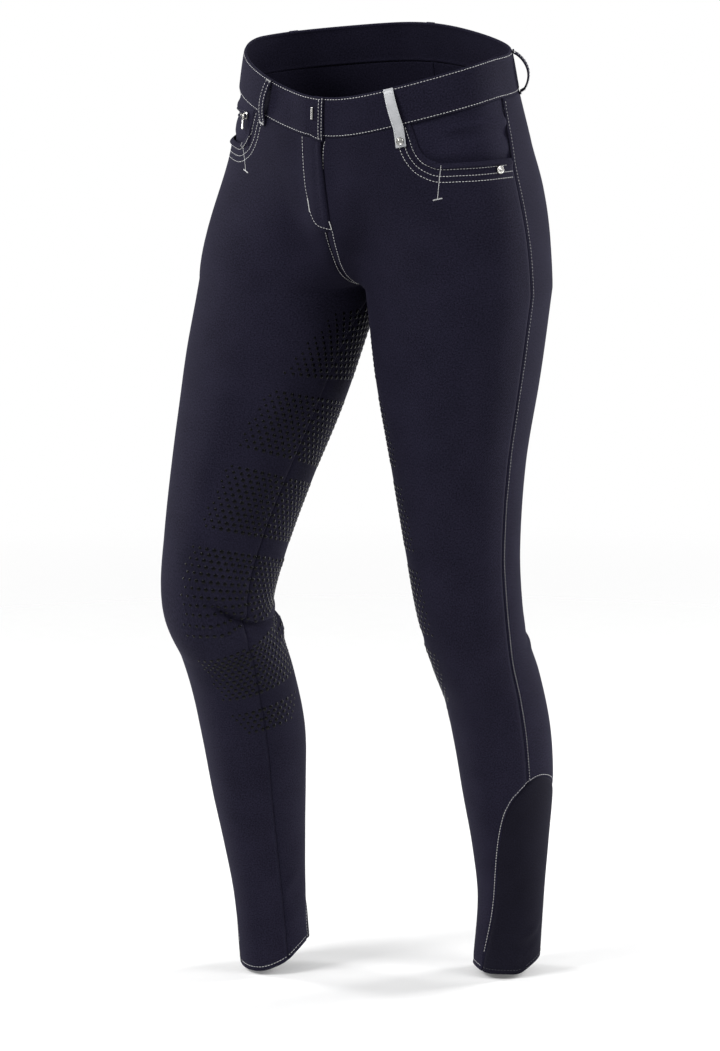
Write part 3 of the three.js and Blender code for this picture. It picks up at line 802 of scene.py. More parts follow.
# %% Leatherette and nickel
def silver_leatherette():
    material, tree = new_material("silver_leatherette")
    place = add_node(tree, "ShaderNodeTexCoord")
    grain = add_node(tree, "ShaderNodeTexVoronoi", {"Vector": place.outputs["Object"]},
                     Scale=1 / (0.9 * MM))
    worn = add_node(tree, "ShaderNodeTexNoise", {"Vector": place.outputs["Object"]},
                    Scale=1 / (6 * MM), Detail=3.0)
    tint = add_node(tree, "ShaderNodeMix", {"Factor": worn.outputs[0]},
                    {6: linear("#b2b4b7"), 7: linear("#cbccd0")}, data_type="RGBA")
    bump = add_node(tree, "ShaderNodeBump", {"Height": grain.outputs[0]}, Strength=0.35, Distance=0.15 * MM)
    shader = add_node(tree, "ShaderNodeBsdfPrincipled",
                      {"Base Color": tint.outputs[2], "Normal": bump.outputs[0]},
                      Roughness=0.5, Metallic=0.1)
    finish_material(tree, shader)
    return material


def polished_nickel():
    material, tree = new_material("polished_nickel")
    place = add_node(tree, "ShaderNodeTexCoord")
    rub = add_node(tree, "ShaderNodeTexNoise", {"Vector": place.outputs["Object"]},
                   Scale=1 / (1.5 * MM), Detail=2.0)
    rough = add_node(tree, "ShaderNodeMapRange", {"Value": rub.outputs[0]}, To_Min=0.1, To_Max=0.24)
    shader = add_node(tree, "ShaderNodeBsdfPrincipled", {"Roughness": rough.outputs[0]},
                      Base_Color=linear("#c4c3bf"), Metallic=1.0)
    finish_material(tree, shader)
    return material


leatherette = silver_leatherette()
nickel = polished_nickel()
print("materials:", len(bpy.data.materials))

# %% [markdown]
# A cut piece starts as a flat grid, as cloth does. Each corner of the grid is given its u and v and
# moved on to the surface. A Solidify modifier then gives the cloth its wall, inwards from the outer
# face. The flat grid's own measure is kept as the UV map, in metres, so the weave follows the cloth.

# %% Laying a flat grid on the surface
def add_piece(name, mesh, material, body="breeches"):
    """Puts a finished mesh into the scene with its material, riding on a body."""
    piece = bpy.data.objects.new(name, mesh)
    bpy.context.scene.collection.objects.link(piece)
    mesh.shade_smooth()
    mesh.materials.append(material)
    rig.ride(piece, body)
    return piece


def lay(name, columns, rows, shape, measure, material, wall, node=None, slot="breeches_cloth"):
    """Bends a grid of columns by rows. shape(i, j) and measure(i, j) take arrays of grid places."""
    sheet = bmesh.new()
    bmesh.ops.create_grid(sheet, x_segments=columns - 1, y_segments=rows - 1, size=1)
    sheet.verts.ensure_lookup_table()
    flat = np.array([v.co[:2] for v in sheet.verts])
    i = np.rint((flat[:, 0] + 1) / 2 * (columns - 1)).astype(int)
    j = np.rint((flat[:, 1] + 1) / 2 * (rows - 1)).astype(int)
    points = shape(i, j) * MM
    metres = measure(i, j) * MM
    for vertex, point in zip(sheet.verts, points):
        vertex.co = point
    layer = sheet.loops.layers.uv.new("cloth")
    for face in sheet.faces:
        for loop in face.loops:
            loop[layer].uv = metres[loop.vert.index]
    mesh = bpy.data.meshes.new(name)
    sheet.to_mesh(mesh)
    sheet.free()
    piece = add_piece(name, mesh, material)
    solid = piece.modifiers.new("wall", "SOLIDIFY")
    solid.thickness = wall * MM
    solid.offset = -1
    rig.slot(piece, slot)
    if node:
        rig.replaces(piece, node)
    return piece


def faces_out(piece, middle):
    """Turns the grid over if its faces look towards the middle of the garment."""
    mesh = piece.data
    centres = np.array([p.center for p in mesh.polygons])
    normals = np.array([p.normal for p in mesh.polygons])
    if np.sum(normals * (centres - np.array(middle))) < 0:
        mesh.flip_normals()
    return piece


def flat_area(piece):
    """Area of the piece's outer face in square metres."""
    return sum(p.area for p in piece.data.polygons)


# %% [markdown]
# The four leg panels run from the waist seam to the hem. They could be one tube with seams drawn on it,
# but each is cut on its own, as the maker does, so the seams are real. Their rows of faces are close at
# the knee and the waist, and their columns are close under the pocket and along the insert's arc.

# %% Leg panels
FRONT_COLUMNS = np.concatenate([
    np.linspace(0, 0.24, 34, endpoint=False),
    np.linspace(0.24, 0.33, 34, endpoint=False),
    np.linspace(0.33, 0.48, 22, endpoint=False),
    np.linspace(0.48, 0.5, 7),
])
BACK_COLUMNS = np.concatenate([
    np.linspace(0.5, 0.52, 6, endpoint=False),
    np.linspace(0.52, 0.7, 20, endpoint=False),
    np.linspace(0.7, 0.88, 32, endpoint=False),
    np.linspace(0.88, 1, 16),
])
LEG_FROM = -480
CLOTH_TURN = 120
LEG_ROWS = np.concatenate([
    np.linspace(0, -290, 76, endpoint=False),
    np.linspace(-290, -400, 84, endpoint=False),
    np.linspace(-400, LEG_FROM, 26, endpoint=False),
])


def row_heights(side, part, u):
    """v of every row of a panel, for an array of columns: rows by columns."""
    top = mouth_at(u) if part == "front" else np.full_like(u, WAIST_TOP)
    end = arc_at(side, u)
    waist = top + np.linspace(0, 1, 28, endpoint=False)[:, None] * (np.minimum(WAIST_END, top - 0.02) - top)
    trunk = np.minimum(np.linspace(WAIST_END, 0, 40, endpoint=False)[:, None], top - 0.02)
    leg = np.broadcast_to(LEG_ROWS[:, None], (len(LEG_ROWS), len(u)))
    foot = LEG_FROM + np.linspace(0, 1, 64)[:, None] * (end - LEG_FROM)
    return np.concatenate([waist, trunk, leg, foot])


def cloth_span(v):
    """Width of the flat cloth that one unit of u takes, in millimetres."""
    fall = fall_of(v)
    narrowing = (THIGH_SPAN - TRUNK_SPAN) * ease(-fall / CLOTH_TURN)
    return np.where(fall > 0, THIGH_SPAN - SPAN_TAPER * fall, THIGH_SPAN - narrowing)


def flat_place(u, v):
    return np.stack([(u - 0.5) * cloth_span(v), -fall_of(v)], axis=-1)


def panel(side, part):
    columns = FRONT_COLUMNS if part == "front" else BACK_COLUMNS
    heights = row_heights(side, part, columns)
    piece = lay(
        f"{part}_panel_{side}", len(columns), len(heights),
        lambda i, j: skin(side, columns[i], heights[j, i]),
        lambda i, j: flat_place(columns[i], heights[j, i]),
        navy_twill, CLOTH, node=f"{part}_{side}",
    )
    return faces_out(piece, (sign_of(side) * 0.09, 0.02, -0.4))


panels = {}
for side in ("right", "left"):
    for part in ("front", "back"):
        panels[part, side] = panel(side, part)
        print(part, side, "area", round(flat_area(panels[part, side]), 4), "m2")

# %% [markdown]
# The ankle inserts fill the arch cut from the lower leg. A boolean could cut them out of the panels. A
# grid of their own between the arc and the hem keeps its rows along both edges, and rolls in at the arc.

# %% Ankle inserts
INSERT_COLUMNS = np.concatenate([
    np.linspace(ARC_START + 0.001, 0.42, 44, endpoint=False),
    np.linspace(0.42, 0.7, 34, endpoint=False),
    np.linspace(0.7, ARC_END - 0.001, 40),
])
INSERT_ROWS = 64
STEEPEST = 9


def ankle_insert(side):
    top = arc_at(side, INSERT_COLUMNS)
    end = np.minimum(hem_at(side, INSERT_COLUMNS), top - 0.6)
    steep = slope_of(lambda at: arc_at(side, at), INSERT_COLUMNS, 1, ANKLE_SPAN)
    steep = np.clip(steep, -STEEPEST, STEEPEST)

    def place(i, j):
        return INSERT_COLUMNS[i], top[i] + j / (INSERT_ROWS - 1) * (end[i] - top[i])

    def shape(i, j):
        u, v = place(i, j)
        height = creased(side, u, v) + roll((top[i] - v) / np.hypot(1, steep[i]))
        height -= hem_groove(side, u, v)
        return surface(side, u, v) + outward(side, u, v) * height[..., None]

    piece = lay(f"stretch_insert_{side}", len(INSERT_COLUMNS), INSERT_ROWS, shape,
                lambda i, j: flat_place(*place(i, j)), insert_knit, CLOTH,
                node=f"ankle_insert_{side}", slot="stretch_insert")
    return faces_out(piece, leg_centre(side, np.array(670.0)) * MM)


inserts = {side: ankle_insert(side) for side in ("right", "left")}
print("insert area", round(flat_area(inserts["left"]), 4), "m2")

# %% [markdown]
# Behind each pocket mouth the facing shows. It sits two millimetres deep, under the front panel, and
# droops a little where nothing pulls it. The right one has two raised lips for the small zip. They are
# folds of the same grid, because the real ones are folded from the facing's own cloth.

# %% Pocket facings
FACING_COLUMNS = np.linspace(0.25, 0.4992, 56)
FACING_ROWS = 60
FACING_CLOTH = 1.1
ZIP_FROM = 0.32
ZIP_TO = 0.455
ZIP_HIGH = 0.917
ZIP_FALL = 0.56


def facing_point(side, u, v, lift=0.0):
    droop = 2.0 * bell(v - 0.91 + (u - 0.4) * 0.25, 0.022) * ease((u - 0.32) / 0.06)
    droop = droop - 1.5 * bell(v - 0.86 + (u - 0.4) * 0.3, 0.03) * ease((u - 0.31) / 0.08)
    droop = droop - 1.8 * ease(1 - (v - mouth_at(u)) / 0.05) * ease((u - 0.28) / 0.05)
    if side == "right":
        across = (v - ZIP_HIGH + (u - ZIP_FROM) * ZIP_FALL) * SIDE_RISE
        lips = 1.1 * bell(np.abs(across) - 3.4, 1.1) - 0.9 * bell(across, 1.6)
        droop = droop + lips * ease((u - ZIP_FROM) / 0.01) * ease((ZIP_TO - u) / 0.02)
    return surface(side, u, v) + outward(side, u, v) * (droop - FACING_DROP + lift)[..., None]


def pocket_facing(side):
    end = np.minimum(0.92, mouth_at(FACING_COLUMNS) - 0.09)

    def place(i, j):
        return FACING_COLUMNS[i], WAIST_TOP + j / (FACING_ROWS - 1) * (end[i] - WAIST_TOP)

    piece = lay(f"facing_{side}", len(FACING_COLUMNS), FACING_ROWS,
                lambda i, j: facing_point(side, *place(i, j)),
                lambda i, j: flat_place(*place(i, j)), facing_twill, FACING_CLOTH,
                node=f"pocket_facing_{side}")
    return faces_out(piece, (0, 0, -0.08))


facings = {side: pocket_facing(side) for side in ("right", "left")}
print("facing area", round(flat_area(facings["left"]), 4), "m2")

# %% [markdown]
# The waistband is one strip folded along its top. It starts at its right end, which lies over the
# left one at the front and sags a little at its free corner, and it goes round by the back.
# s runs along it: the u of the right half, then 2 minus the u of the left half. One grid keeps it a
# single strip, and grooves pulled in along both edges give its rows of stitching something to sink into.

# %% Waistband
BAND_STOPS = np.concatenate([
    np.linspace(0, 0.14, 40, endpoint=False),
    np.linspace(0.14, 1.86, 190, endpoint=False),
    np.linspace(1.86, 2.03, 40),
])
BAND_ROWS = 21
BAND_LAP = 3
BAND_SPAN = 400


def band_point(s, t, lift=0.0):
    """Points of the band's outer face: t runs from the waist seam (0) to the top edge (1)."""
    s, t = np.broadcast_arrays(np.asarray(s, float), np.asarray(t, float))
    v = 1 + t
    u = np.abs(np.where(s < 1, s, 2 - s))
    on_right = ((s < 1) | (s > 2))[..., None]
    p = np.where(on_right, surface("right", u, v), surface("left", u, v))
    n = np.where(on_right, outward("right", u, v), outward("left", u, v))
    over = np.where(s <= 1, BAND_OVER * (1 - ease((s - 0.05) / 0.08)), 0)
    from_seam = t * BAND
    from_top = (1 - t) * BAND
    seam = -0.8 * bell(from_seam, 1.5)
    top = -0.9 * bell(from_top, 1.6)
    groove = -0.25 * bell(from_seam - 2.4, 0.8) - 0.25 * bell(from_top - 2.6, 0.8)
    swell = 0.35 * np.sin(np.pi * t)
    end = -0.9 * bell(s * TRUNK_SPAN, 1.4)
    p = p + n * (BAND_PROUD + over + seam + top + groove + swell + end + lift)[..., None]
    near = ease(1 - s / 0.045)
    p[..., 0] += np.where(s < 0.02, BAND_LAP * (1 - s / 0.02), 0)
    p[..., 2] -= np.where(s <= 1, FLY_DROP * near * (1 - t), 0)
    return p


band = lay("waist_band", len(BAND_STOPS), BAND_ROWS,
           lambda i, j: band_point(BAND_STOPS[i], j / (BAND_ROWS - 1)),
           lambda i, j: np.stack([BAND_STOPS[i] * BAND_SPAN, j / (BAND_ROWS - 1) * BAND], axis=-1),
           navy_twill, BAND_WALL, node="waistband")
faces_out(band, (0, 0, -0.04))
print("band area", round(flat_area(band), 4), "m2")

# %% [markdown]
# A belt loop is a strip with its edges folded under, sewn down at both ends and standing off the band
# between them. The front left one is silver leatherette. Each row gives the u of its top and of its
# foot, the v of its lower end, how far it bows out and its width. A curve with a bevel could make it too,
# but a grid folds its edges and keeps the same wall as the other cloth.

# %% Belt loops
LOOPS = {
    "front_left": ("left", 0.216, 0.248, 0.885, 3.4, 11),
    "front_right": ("right", 0.205, 0.228, 0.95, 4.6, 10),
    "side_left": ("left", 0.6, 0.6, 0.985, 11.5, 10),
    "side_right": ("right", 0.6, 0.6, 0.985, 11.5, 10),
    "back": ("left", 1, 1, 0.95, 11.5, 10),
}
LOOP_ON_BAND = 0.82
LOOP_SEAT = BAND_PROUD + 0.35 + CLOTH
LOOP_COLUMNS = 13
LOOP_ROWS = 60
LOOP_FLAT = 52


def loop_point(name, w, t, lift=0.0):
    """w runs across the loop from -1 to 1 and t down it from 0 to 1."""
    side, top, foot, low_end, bow, wide = LOOPS[name]
    w, t = np.broadcast_arrays(np.asarray(w, float), np.asarray(t, float))
    v = np.where(
        t < LOOP_ON_BAND,
        1.99 - t / LOOP_ON_BAND * 0.99,
        1 + (t - LOOP_ON_BAND) / (1 - LOOP_ON_BAND) * (low_end - 1),
    )
    arch = np.sin(np.pi * np.clip((t - 0.04) / 0.84, 0, 1)) ** 0.7
    out = LOOP_SEAT + bow * arch - 0.4 * np.abs(w) ** 6 + lift
    if top == 1:
        p = surface(side, np.ones_like(v), v) + outward(side, np.ones_like(v), v) * out[..., None]
        p[..., 0] = w * wide / 2
        return p
    u = top + t * (foot - top) + w * wide / 2 / TRUNK_SPAN
    return surface(side, u, v) + outward(side, u, v) * out[..., None]


loops = {}
for name in LOOPS:
    silver = name == "front_left"
    wide = LOOPS[name][5]
    piece = lay(f"loop_{name}", LOOP_COLUMNS, LOOP_ROWS,
                lambda i, j: loop_point(name, i / (LOOP_COLUMNS // 2) - 1, j / (LOOP_ROWS - 1)),
                lambda i, j: np.stack([i / (LOOP_COLUMNS - 1) * wide, j / (LOOP_ROWS - 1) * LOOP_FLAT],
                                      axis=-1),
                leatherette if silver else navy_twill, CLOTH,
                node=f"belt_loop_{name}", slot="silver_leatherette" if silver else "breeches_cloth")
    loops[name] = faces_out(piece, (0, 0, -0.04))
print("loops:", len(loops))

# %% [markdown]
# Hundreds of stitches and dots are one small mesh each, repeated. The base mesh comes from bmesh
# operators and has only a few dozen faces. Numpy sets a copy of it at each place, along a direction and
# standing out of the cloth, and all copies are joined in one mesh.

# %% Repeating a small shape
def repeat(name, base, places, along, out, material, sizes=None):
    corners = np.array([v.co for v in base.verts])
    faces = [[v.index for v in f.verts] for f in base.faces]
    sizes = np.ones(len(places)) if sizes is None else sizes
    aside = unit(np.cross(out, along))
    along = np.cross(aside, out)
    turned = (
        corners[None, :, 0, None] * along[:, None]
        + corners[None, :, 1, None] * aside[:, None]
        + corners[None, :, 2, None] * out[:, None]
    ) * sizes[:, None, None]
    points = (places[:, None] * MM + turned).reshape(-1, 3)
    count = len(corners)
    joined = [[k * count + c for c in face] for k in range(len(places)) for face in faces]
    mesh = bpy.data.meshes.new(name)
    mesh.from_pydata(points.tolist(), [], joined)
    return add_piece(name, mesh, material)


def small_ball(length, width, height):
    """An egg of 36 triangles with its length along x."""
    ball = bmesh.new()
    bmesh.ops.create_uvsphere(ball, u_segments=6, v_segments=4, radius=0.5)
    bmesh.ops.rotate(ball, verts=ball.verts, cent=(0, 0, 0), matrix=Matrix.Rotation(math.pi / 2, 3, "Y"))
    bmesh.ops.scale(ball, verts=ball.verts, vec=(length * MM, width * MM, height * MM))
    ball.verts.index_update()
    return ball


print("faces of one stitch:", len(small_ball(1, 1, 1).faces))

# %% [markdown]
# A row of stitches is a path in the two coordinates of a piece. It is walked in steps of the stitch
# length, and at each step the piece's own point function says where the thread lies. A second row beside
# the first is found by moving the path sideways in the cloth.

# %% Rows of stitches
STITCH_PITCH = 3.3
STITCH = (2.5, 0.62, 0.5)
THREAD_LIFT = 0.12


def smooth_path(*points, count=200):
    """A smooth dense path through a few points."""
    points = np.array(points, float)
    rows = {"k": np.arange(len(points), dtype=float), "a": points[:, 0], "b": points[:, 1]}
    k = np.linspace(0, len(points) - 1, count)
    return np.stack([read(rows, "k", "a", k), read(rows, "k", "b", k)], axis=-1)


def straight_path(start, end, count=200):
    return np.linspace(start, end, count)


def path_frame(point_of, path):
    p = point_of(path[:, 0], path[:, 1], THREAD_LIFT)
    above = point_of(path[:, 0], path[:, 1], THREAD_LIFT + 1)
    return p, unit(np.gradient(p, axis=0)), unit(above - p)


def beside(point_of, path, distance):
    """The path moved sideways in the cloth; positive is to the left of its direction, seen from outside."""
    p, along, out = path_frame(point_of, path)
    aside = np.cross(out, along)
    step = np.array([0.0015, 0.0015 if np.abs(path[:, 1]).max() < 3 else 0.3])
    across_a = (point_of(path[:, 0] + step[0], path[:, 1], 0) - point_of(path[:, 0] - step[0], path[:, 1], 0))
    across_b = (point_of(path[:, 0], path[:, 1] + step[1], 0) - point_of(path[:, 0], path[:, 1] - step[1], 0))
    across_a = across_a / (2 * step[0])
    across_b = across_b / (2 * step[1])
    want = aside * distance
    aa = np.sum(across_a * across_a, axis=-1)
    ab = np.sum(across_a * across_b, axis=-1)
    bb = np.sum(across_b * across_b, axis=-1)
    wa = np.sum(want * across_a, axis=-1)
    wb = np.sum(want * across_b, axis=-1)
    det = aa * bb - ab * ab
    return path + np.stack([(wa * bb - wb * ab) / det, (wb * aa - wa * ab) / det], axis=-1)


def walk(point_of, path, pitch=STITCH_PITCH):
    """Places, directions and outward normals every pitch millimetres along a path."""
    p, along, out = path_frame(point_of, path)
    far = np.concatenate([[0], np.cumsum(np.linalg.norm(np.diff(p, axis=0), axis=-1))])
    at = np.arange(pitch / 2, far[-1], pitch)

    def every(values):
        return np.stack([np.interp(at, far, values[:, k]) for k in range(3)], axis=-1)

    return every(p), unit(every(along)), unit(every(out))


def sew(name, walks, material, size=STITCH):
    places, along, out = (np.concatenate(parts) for parts in zip(*walks))
    repeat(name, small_ball(*size), places, along, out, material)
    print(name, "has", len(places), "stitches")


def on_skin(side):
    """The point function of one half's skin."""
    return lambda u, v, lift: skin(side, u, v, lift)


def on_plain(side):
    """The half before its seams and edges are rolled, to measure sideways from an edge."""
    return lambda u, v, lift: surface(side, u, v) + outward(side, u, v) * lift


print("stitches in 100 mm:", round(100 / STITCH_PITCH))

# %% [markdown]
# The white rows follow the photograph. On the band they run along both long edges and twice along its
# free end. On the legs they run behind each side seam, round the insert's arc and above the hem. A hand
# guides the cloth under the needle, so the long row behind the side seam wavers a little.

# %% Band and leg rows
BAND_ROW = 2.4 / BAND
BESIDE_SEAM = 3.5
ABOVE_ARC = 2.2
walks = [
    walk(band_point, straight_path((0.006, 1 - BAND_ROW), (2.0, 1 - BAND_ROW), 1200)),
    walk(band_point, straight_path((0.006, BAND_ROW), (2.0, BAND_ROW), 1200)),
    walk(band_point, straight_path((0.003, 0.04), (0.003, 0.96))),
    walk(band_point, straight_path((0.0105, 0.06), (0.0105, 0.94))),
]
sew("band_stitching", walks, white_thread)


def v_at(fall):
    return np.where(fall > 0, -fall, -fall / SIDE_RISE)


walks = []
seam_walks = []
navy_walks = []
for side in ("right", "left"):
    point_of = on_skin(side)
    arc_top = -float(arc_at(side, np.array(0.5)))
    fall = np.linspace(-198, arc_top - 3, 900)
    waver = 0.25 * np.sin(fall / 23) + 0.15 * np.sin(fall / 9)
    behind = 0.5 + (BESIDE_SEAM + waver) / span_of(v_at(fall))
    seam_walks.append(walk(point_of, np.stack([behind, v_at(fall)], axis=-1)))
    u = np.linspace(ARC_START + 0.004, ARC_END - 0.004, 700)
    steep = slope_of(lambda at: arc_at(side, at), u, 1, ANKLE_SPAN)
    v = arc_at(side, u) + ABOVE_ARC * np.hypot(1, steep)
    walks.append(walk(point_of, np.stack([u, v], axis=-1)))
    for start, end in ((0.005, ARC_START - 0.004), (ARC_END + 0.004, 0.995)):
        u = np.linspace(start, end, 200)
        walks.append(walk(point_of, np.stack([u, hem_at(side, u) + HEM_TUCK], axis=-1)))
    u = np.linspace(ARC_START + 0.01, ARC_END - 0.01, 300)
    navy_walks.append(walk(point_of, np.stack([u, hem_at(side, u) + HEM_TUCK], axis=-1)))
sew("leg_stitching", walks, white_thread)
sew("side_seam_stitching", seam_walks, white_thread, size=(1.5, 0.62, 0.5))
sew("insert_hem_stitching", navy_walks, navy_thread)

# %% [markdown]
# Three rows follow each pocket mouth, and a short line with a crossbar ties them. Those lines and the
# ends of the fly are bartacks: the same thread sewn back and forth so closely that it reads as a bar.

# %% Pocket rows
POCKET_ROWS = (6.4, 13.1, 19)
TIE = {"left": ((0.333, 0.745), (0.324, 0.567)), "right": ((0.312, 0.775), (0.294, 0.632))}


def inside_front(path):
    """The part of a row that lies on the front panel, below the waist seam."""
    return path[(path[:, 0] < 0.494) & (path[:, 1] < 0.995)]


walks = []
for side in ("right", "left"):
    u = np.linspace(SCOOP_START + 0.0005, 0.499, 500)
    edge = np.stack([u, read(SCOOP, "u", "v", u)], axis=-1)
    for distance in POCKET_ROWS:
        path = beside(on_plain(side), edge, -sign_of(side) * distance)
        walks.append(walk(on_skin(side), inside_front(path)))
sew("pocket_stitching", walks, white_thread)

walks = [walk(on_skin(side), straight_path(*TIE[side]), 1.5) for side in ("right", "left")]
sew("pocket_ties", walks, white_thread, size=(1.7, 0.65, 0.5))


def bartack(point_of, start, end, pitch=0.75):
    """Stitches laid across a short path."""
    places, along, out = walk(point_of, straight_path(start, end, 30), pitch)
    return places, np.cross(out, along), out


walks = []
for side in ("right", "left"):
    u, v = TIE[side][1]
    half = 4.1 / TRUNK_SPAN
    walks.append(bartack(on_skin(side), (u - half, v - 0.003), (u + half, v + 0.003)))
sew("tie_bars", walks, white_thread, size=(1.5, 0.7, 0.6))

# %% [markdown]
# The fly's row comes down from the waist seam and curves to the centre. Below it two rows run down the
# front rise, and two more hold the back rise. The loops are sewn along both edges and across both ends,
# the silver one in grey along its edges and once across its top.

# %% Fly and rise rows
FLY_CURVE = (
    (0.074, 0.99), (0.072, 0.896), (0.066, 0.731), (0.059, 0.647), (0.055, 0.585), (0.045, 0.547),
    (0.031, 0.528), (0.014, 0.521), (0.002, 0.518),
)
RISE_RIGHT = ((0.004, 0.5), (0.006, 0.353), (0.022, 0.214), (0.026, 0.14), (0.026, 0.04))
RISE_LEFT = ((0.034, 0.5), (0.046, 0.353), (0.046, 0.234), (0.046, 0.14), (0.046, 0.04))
LEFT_EDGE = ((0.013, 0.985), (0.007, 0.95), (0.004, 0.9), (0.004, 0.84))
BACK_OFFSETS = (0.008, 0.024)
walks = [
    walk(on_skin("right"), smooth_path(*FLY_CURVE, count=400)),
    walk(on_skin("right"), smooth_path(*RISE_RIGHT, count=300)),
    walk(on_skin("left"), smooth_path(*RISE_LEFT, count=300)),
    walk(on_skin("left"), smooth_path(*LEFT_EDGE)),
]
for offset in BACK_OFFSETS:
    v = np.linspace(0.99, 0.03, 400)
    walks.append(walk(on_skin("left"), np.stack([1 - offset + 0 * v, v], axis=-1)))
sew("fly_stitching", walks, white_thread)

walks = [
    bartack(on_skin("right"), (0.0595, 0.655), (0.0565, 0.58)),
    bartack(on_skin("right"), (0.003, 0.565), (0.002, 0.516)),
]
sew("fly_bars", walks, white_thread, size=(1.2, 0.7, 0.6))


def on_loop(name):
    return lambda w, t, lift: loop_point(name, w, t, lift)


navy_loops = [name for name in LOOPS if name != "front_left"]
walks = [
    walk(on_loop(name), straight_path((w, 0.03), (w, 0.97)))
    for w in (-0.56, 0.56) for name in navy_loops
]
for name in navy_loops:
    for t in (0.03, 0.965):
        walks.append(bartack(on_loop(name), (-0.8, t), (0.8, t), 0.9))
sew("loop_stitching", walks, white_thread)

ends = (((-0.78, 0.02), (-0.78, 0.98)), ((0.78, 0.02), (0.78, 0.98)), ((-0.7, 0.1), (0.7, 0.1)))
walks = [walk(on_loop("front_left"), straight_path(*pair)) for pair in ends]
sew("silver_loop_stitching", walks, spun_thread("grey_polyester_thread", "#b4b6b8"))

# %% [markdown]
# The gripping print covers the seat and the inner legs down to the calf. It is a plain staggered grid of
# domed silicone dots, a little smaller towards its edges, with straight blank bands between blocks of
# rows. One dot is a rounded square: a ring of eight corners, extruded and drawn in. The rows start
# PAST_SEAM from the inseam, and PAST_RISE_ROWS from the back rise on the side where its stitches run.

# %% Silicone dots
DOT = 4.6
DOT_HIGH = 0.5
DOT_COLUMN = 8.2
DOT_ROW = 5.6
BLOCK = 84
BLANK = 13
PAST_SEAM = 3.2
PAST_RISE_ROWS = 15
PRINT_TOP = -148
PRINT_END = 470
SMALLEST = 0.62
SHRINK_REACH = 26
PRINT_FRONT = {
    "right": table("fall u", (0, 0.05), (60, 0.09), (120, 0.125), (190, 0.15), (256, 0.175), (300, 0.2),
                   (340, 0.19), (392, 0.15), (440, 0.11), (478, 0.06)),
    "left": table("fall u", (0, 0.06), (60, 0.11), (144, 0.175), (224, 0.21), (312, 0.245), (400, 0.235),
                  (440, 0.2), (478, 0.12)),
}
PRINT_BACK = table("fall u", (-150, 0.2), (-100, 0.27), (0, 0.28), (100, 0.25), (200, 0.24), (300, 0.25),
                   (400, 0.21), (478, 0.1))


def dot_shape():
    dot = bmesh.new()
    ring = bmesh.ops.create_circle(dot, cap_ends=True, segments=8, radius=DOT / 2 * MM)["verts"]
    bmesh.ops.rotate(dot, verts=ring, cent=(0, 0, 0), matrix=Matrix.Rotation(math.radians(22.5), 3, "Z"))
    bmesh.ops.translate(dot, verts=ring, vec=(0, 0, -0.1 * MM))
    rise = bmesh.ops.extrude_face_region(dot, geom=list(dot.faces))
    top = [v for v in rise["geom"] if isinstance(v, bmesh.types.BMVert)]
    bmesh.ops.translate(dot, verts=top, vec=(0, 0, DOT_HIGH * MM))
    bmesh.ops.scale(dot, verts=top, vec=(0.8, 0.8, 1))
    low_faces = [f for f in dot.faces if all(v.co.z < 0 for v in f.verts)]
    bmesh.ops.delete(dot, geom=low_faces, context="FACES")
    bmesh.ops.recalc_face_normals(dot, faces=dot.faces)
    dot.verts.index_update()
    return dot


def printed_places(side):
    """u, v and size of every dot of one leg."""
    kept = []
    for k, fall in enumerate(np.arange(PRINT_TOP, PRINT_END, DOT_ROW)):
        if (fall - PRINT_TOP) % BLOCK > BLOCK - BLANK:
            continue
        v = float(v_at(np.array(fall)))
        around = float(cloth_span(np.array(v)))
        shift = DOT_COLUMN / 2 * (k % 2)
        front = read(PRINT_FRONT[side], "fall", "u", fall) if fall > 4 else 0
        back_edge = float(read(PRINT_BACK, "fall", "u", fall))
        for reach, mirror in ((float(front), False), (back_edge, True)):
            beside_rise = mirror and side == "left" and v > 0
            start = (PAST_RISE_ROWS if beside_rise else PAST_SEAM) + shift
            for x in np.arange(start, reach * around, DOT_COLUMN):
                u = x / around
                size = SMALLEST + (1 - SMALLEST) * float(ease((reach * around - x) / SHRINK_REACH))
                kept.append((1 - u if mirror else u, v, size))
    return np.array(kept)


dots = dot_shape()
for side in ("right", "left"):
    u, v, sizes = printed_places(side).T
    places = skin(side, u, v)
    out = unit(skin(side, u, v, 1) - places)
    down_cloth = unit(skin(side, u, np.where(v > 0, v - 0.01, v - 2)) - places)
    repeat(f"grip_print_{side}", dots, places, down_cloth, out, silicone, sizes)
    print("dots on the", side, "leg:", len(places))

# %% [markdown]
# The hardware sits on the cloth. Its frame stands out of the cloth at a given u and v. A rivet's cap is
# turned: its half outline is spun round the middle. It is left plain.

# %% Rivets
def seat(side, u, v, out):
    """Matrix, in metres, whose z stands out of the cloth and whose y runs up it."""
    u = np.array(float(u))
    v = np.array(float(v))
    n = outward(side, u, v)
    p = surface(side, u, v) + n * out
    below = v - (0.1 if v > 1 else 0.03)
    upward_line = p - (surface(side, u, below) + outward(side, u, below) * out)
    across = unit(np.cross(unit(upward_line), n))
    placed = Matrix.Identity(4)
    for k, column in enumerate((across, np.cross(n, across), n, p * MM)):
        for row in range(3):
            placed[row][k] = column[row]
    return placed


def finish_metal(name, shape, place, node, body="breeches"):
    bmesh.ops.transform(shape, matrix=place, verts=shape.verts)
    mesh = bpy.data.meshes.new(name)
    shape.to_mesh(mesh)
    shape.free()
    piece = add_piece(name, mesh, nickel, body)
    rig.slot(piece, "bright_metal")
    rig.replaces(piece, node)


RIVET_OUTLINE = (
    (0, 1.55), (1.3, 1.5), (1.9, 1.25), (2.2, 1.1), (2.5, 1.25), (3.0, 1.85), (3.6, 2.1), (4.1, 1.8),
    (4.5, 1.0), (4.5, 0.1), (4.2, 0), (0, 0),
)


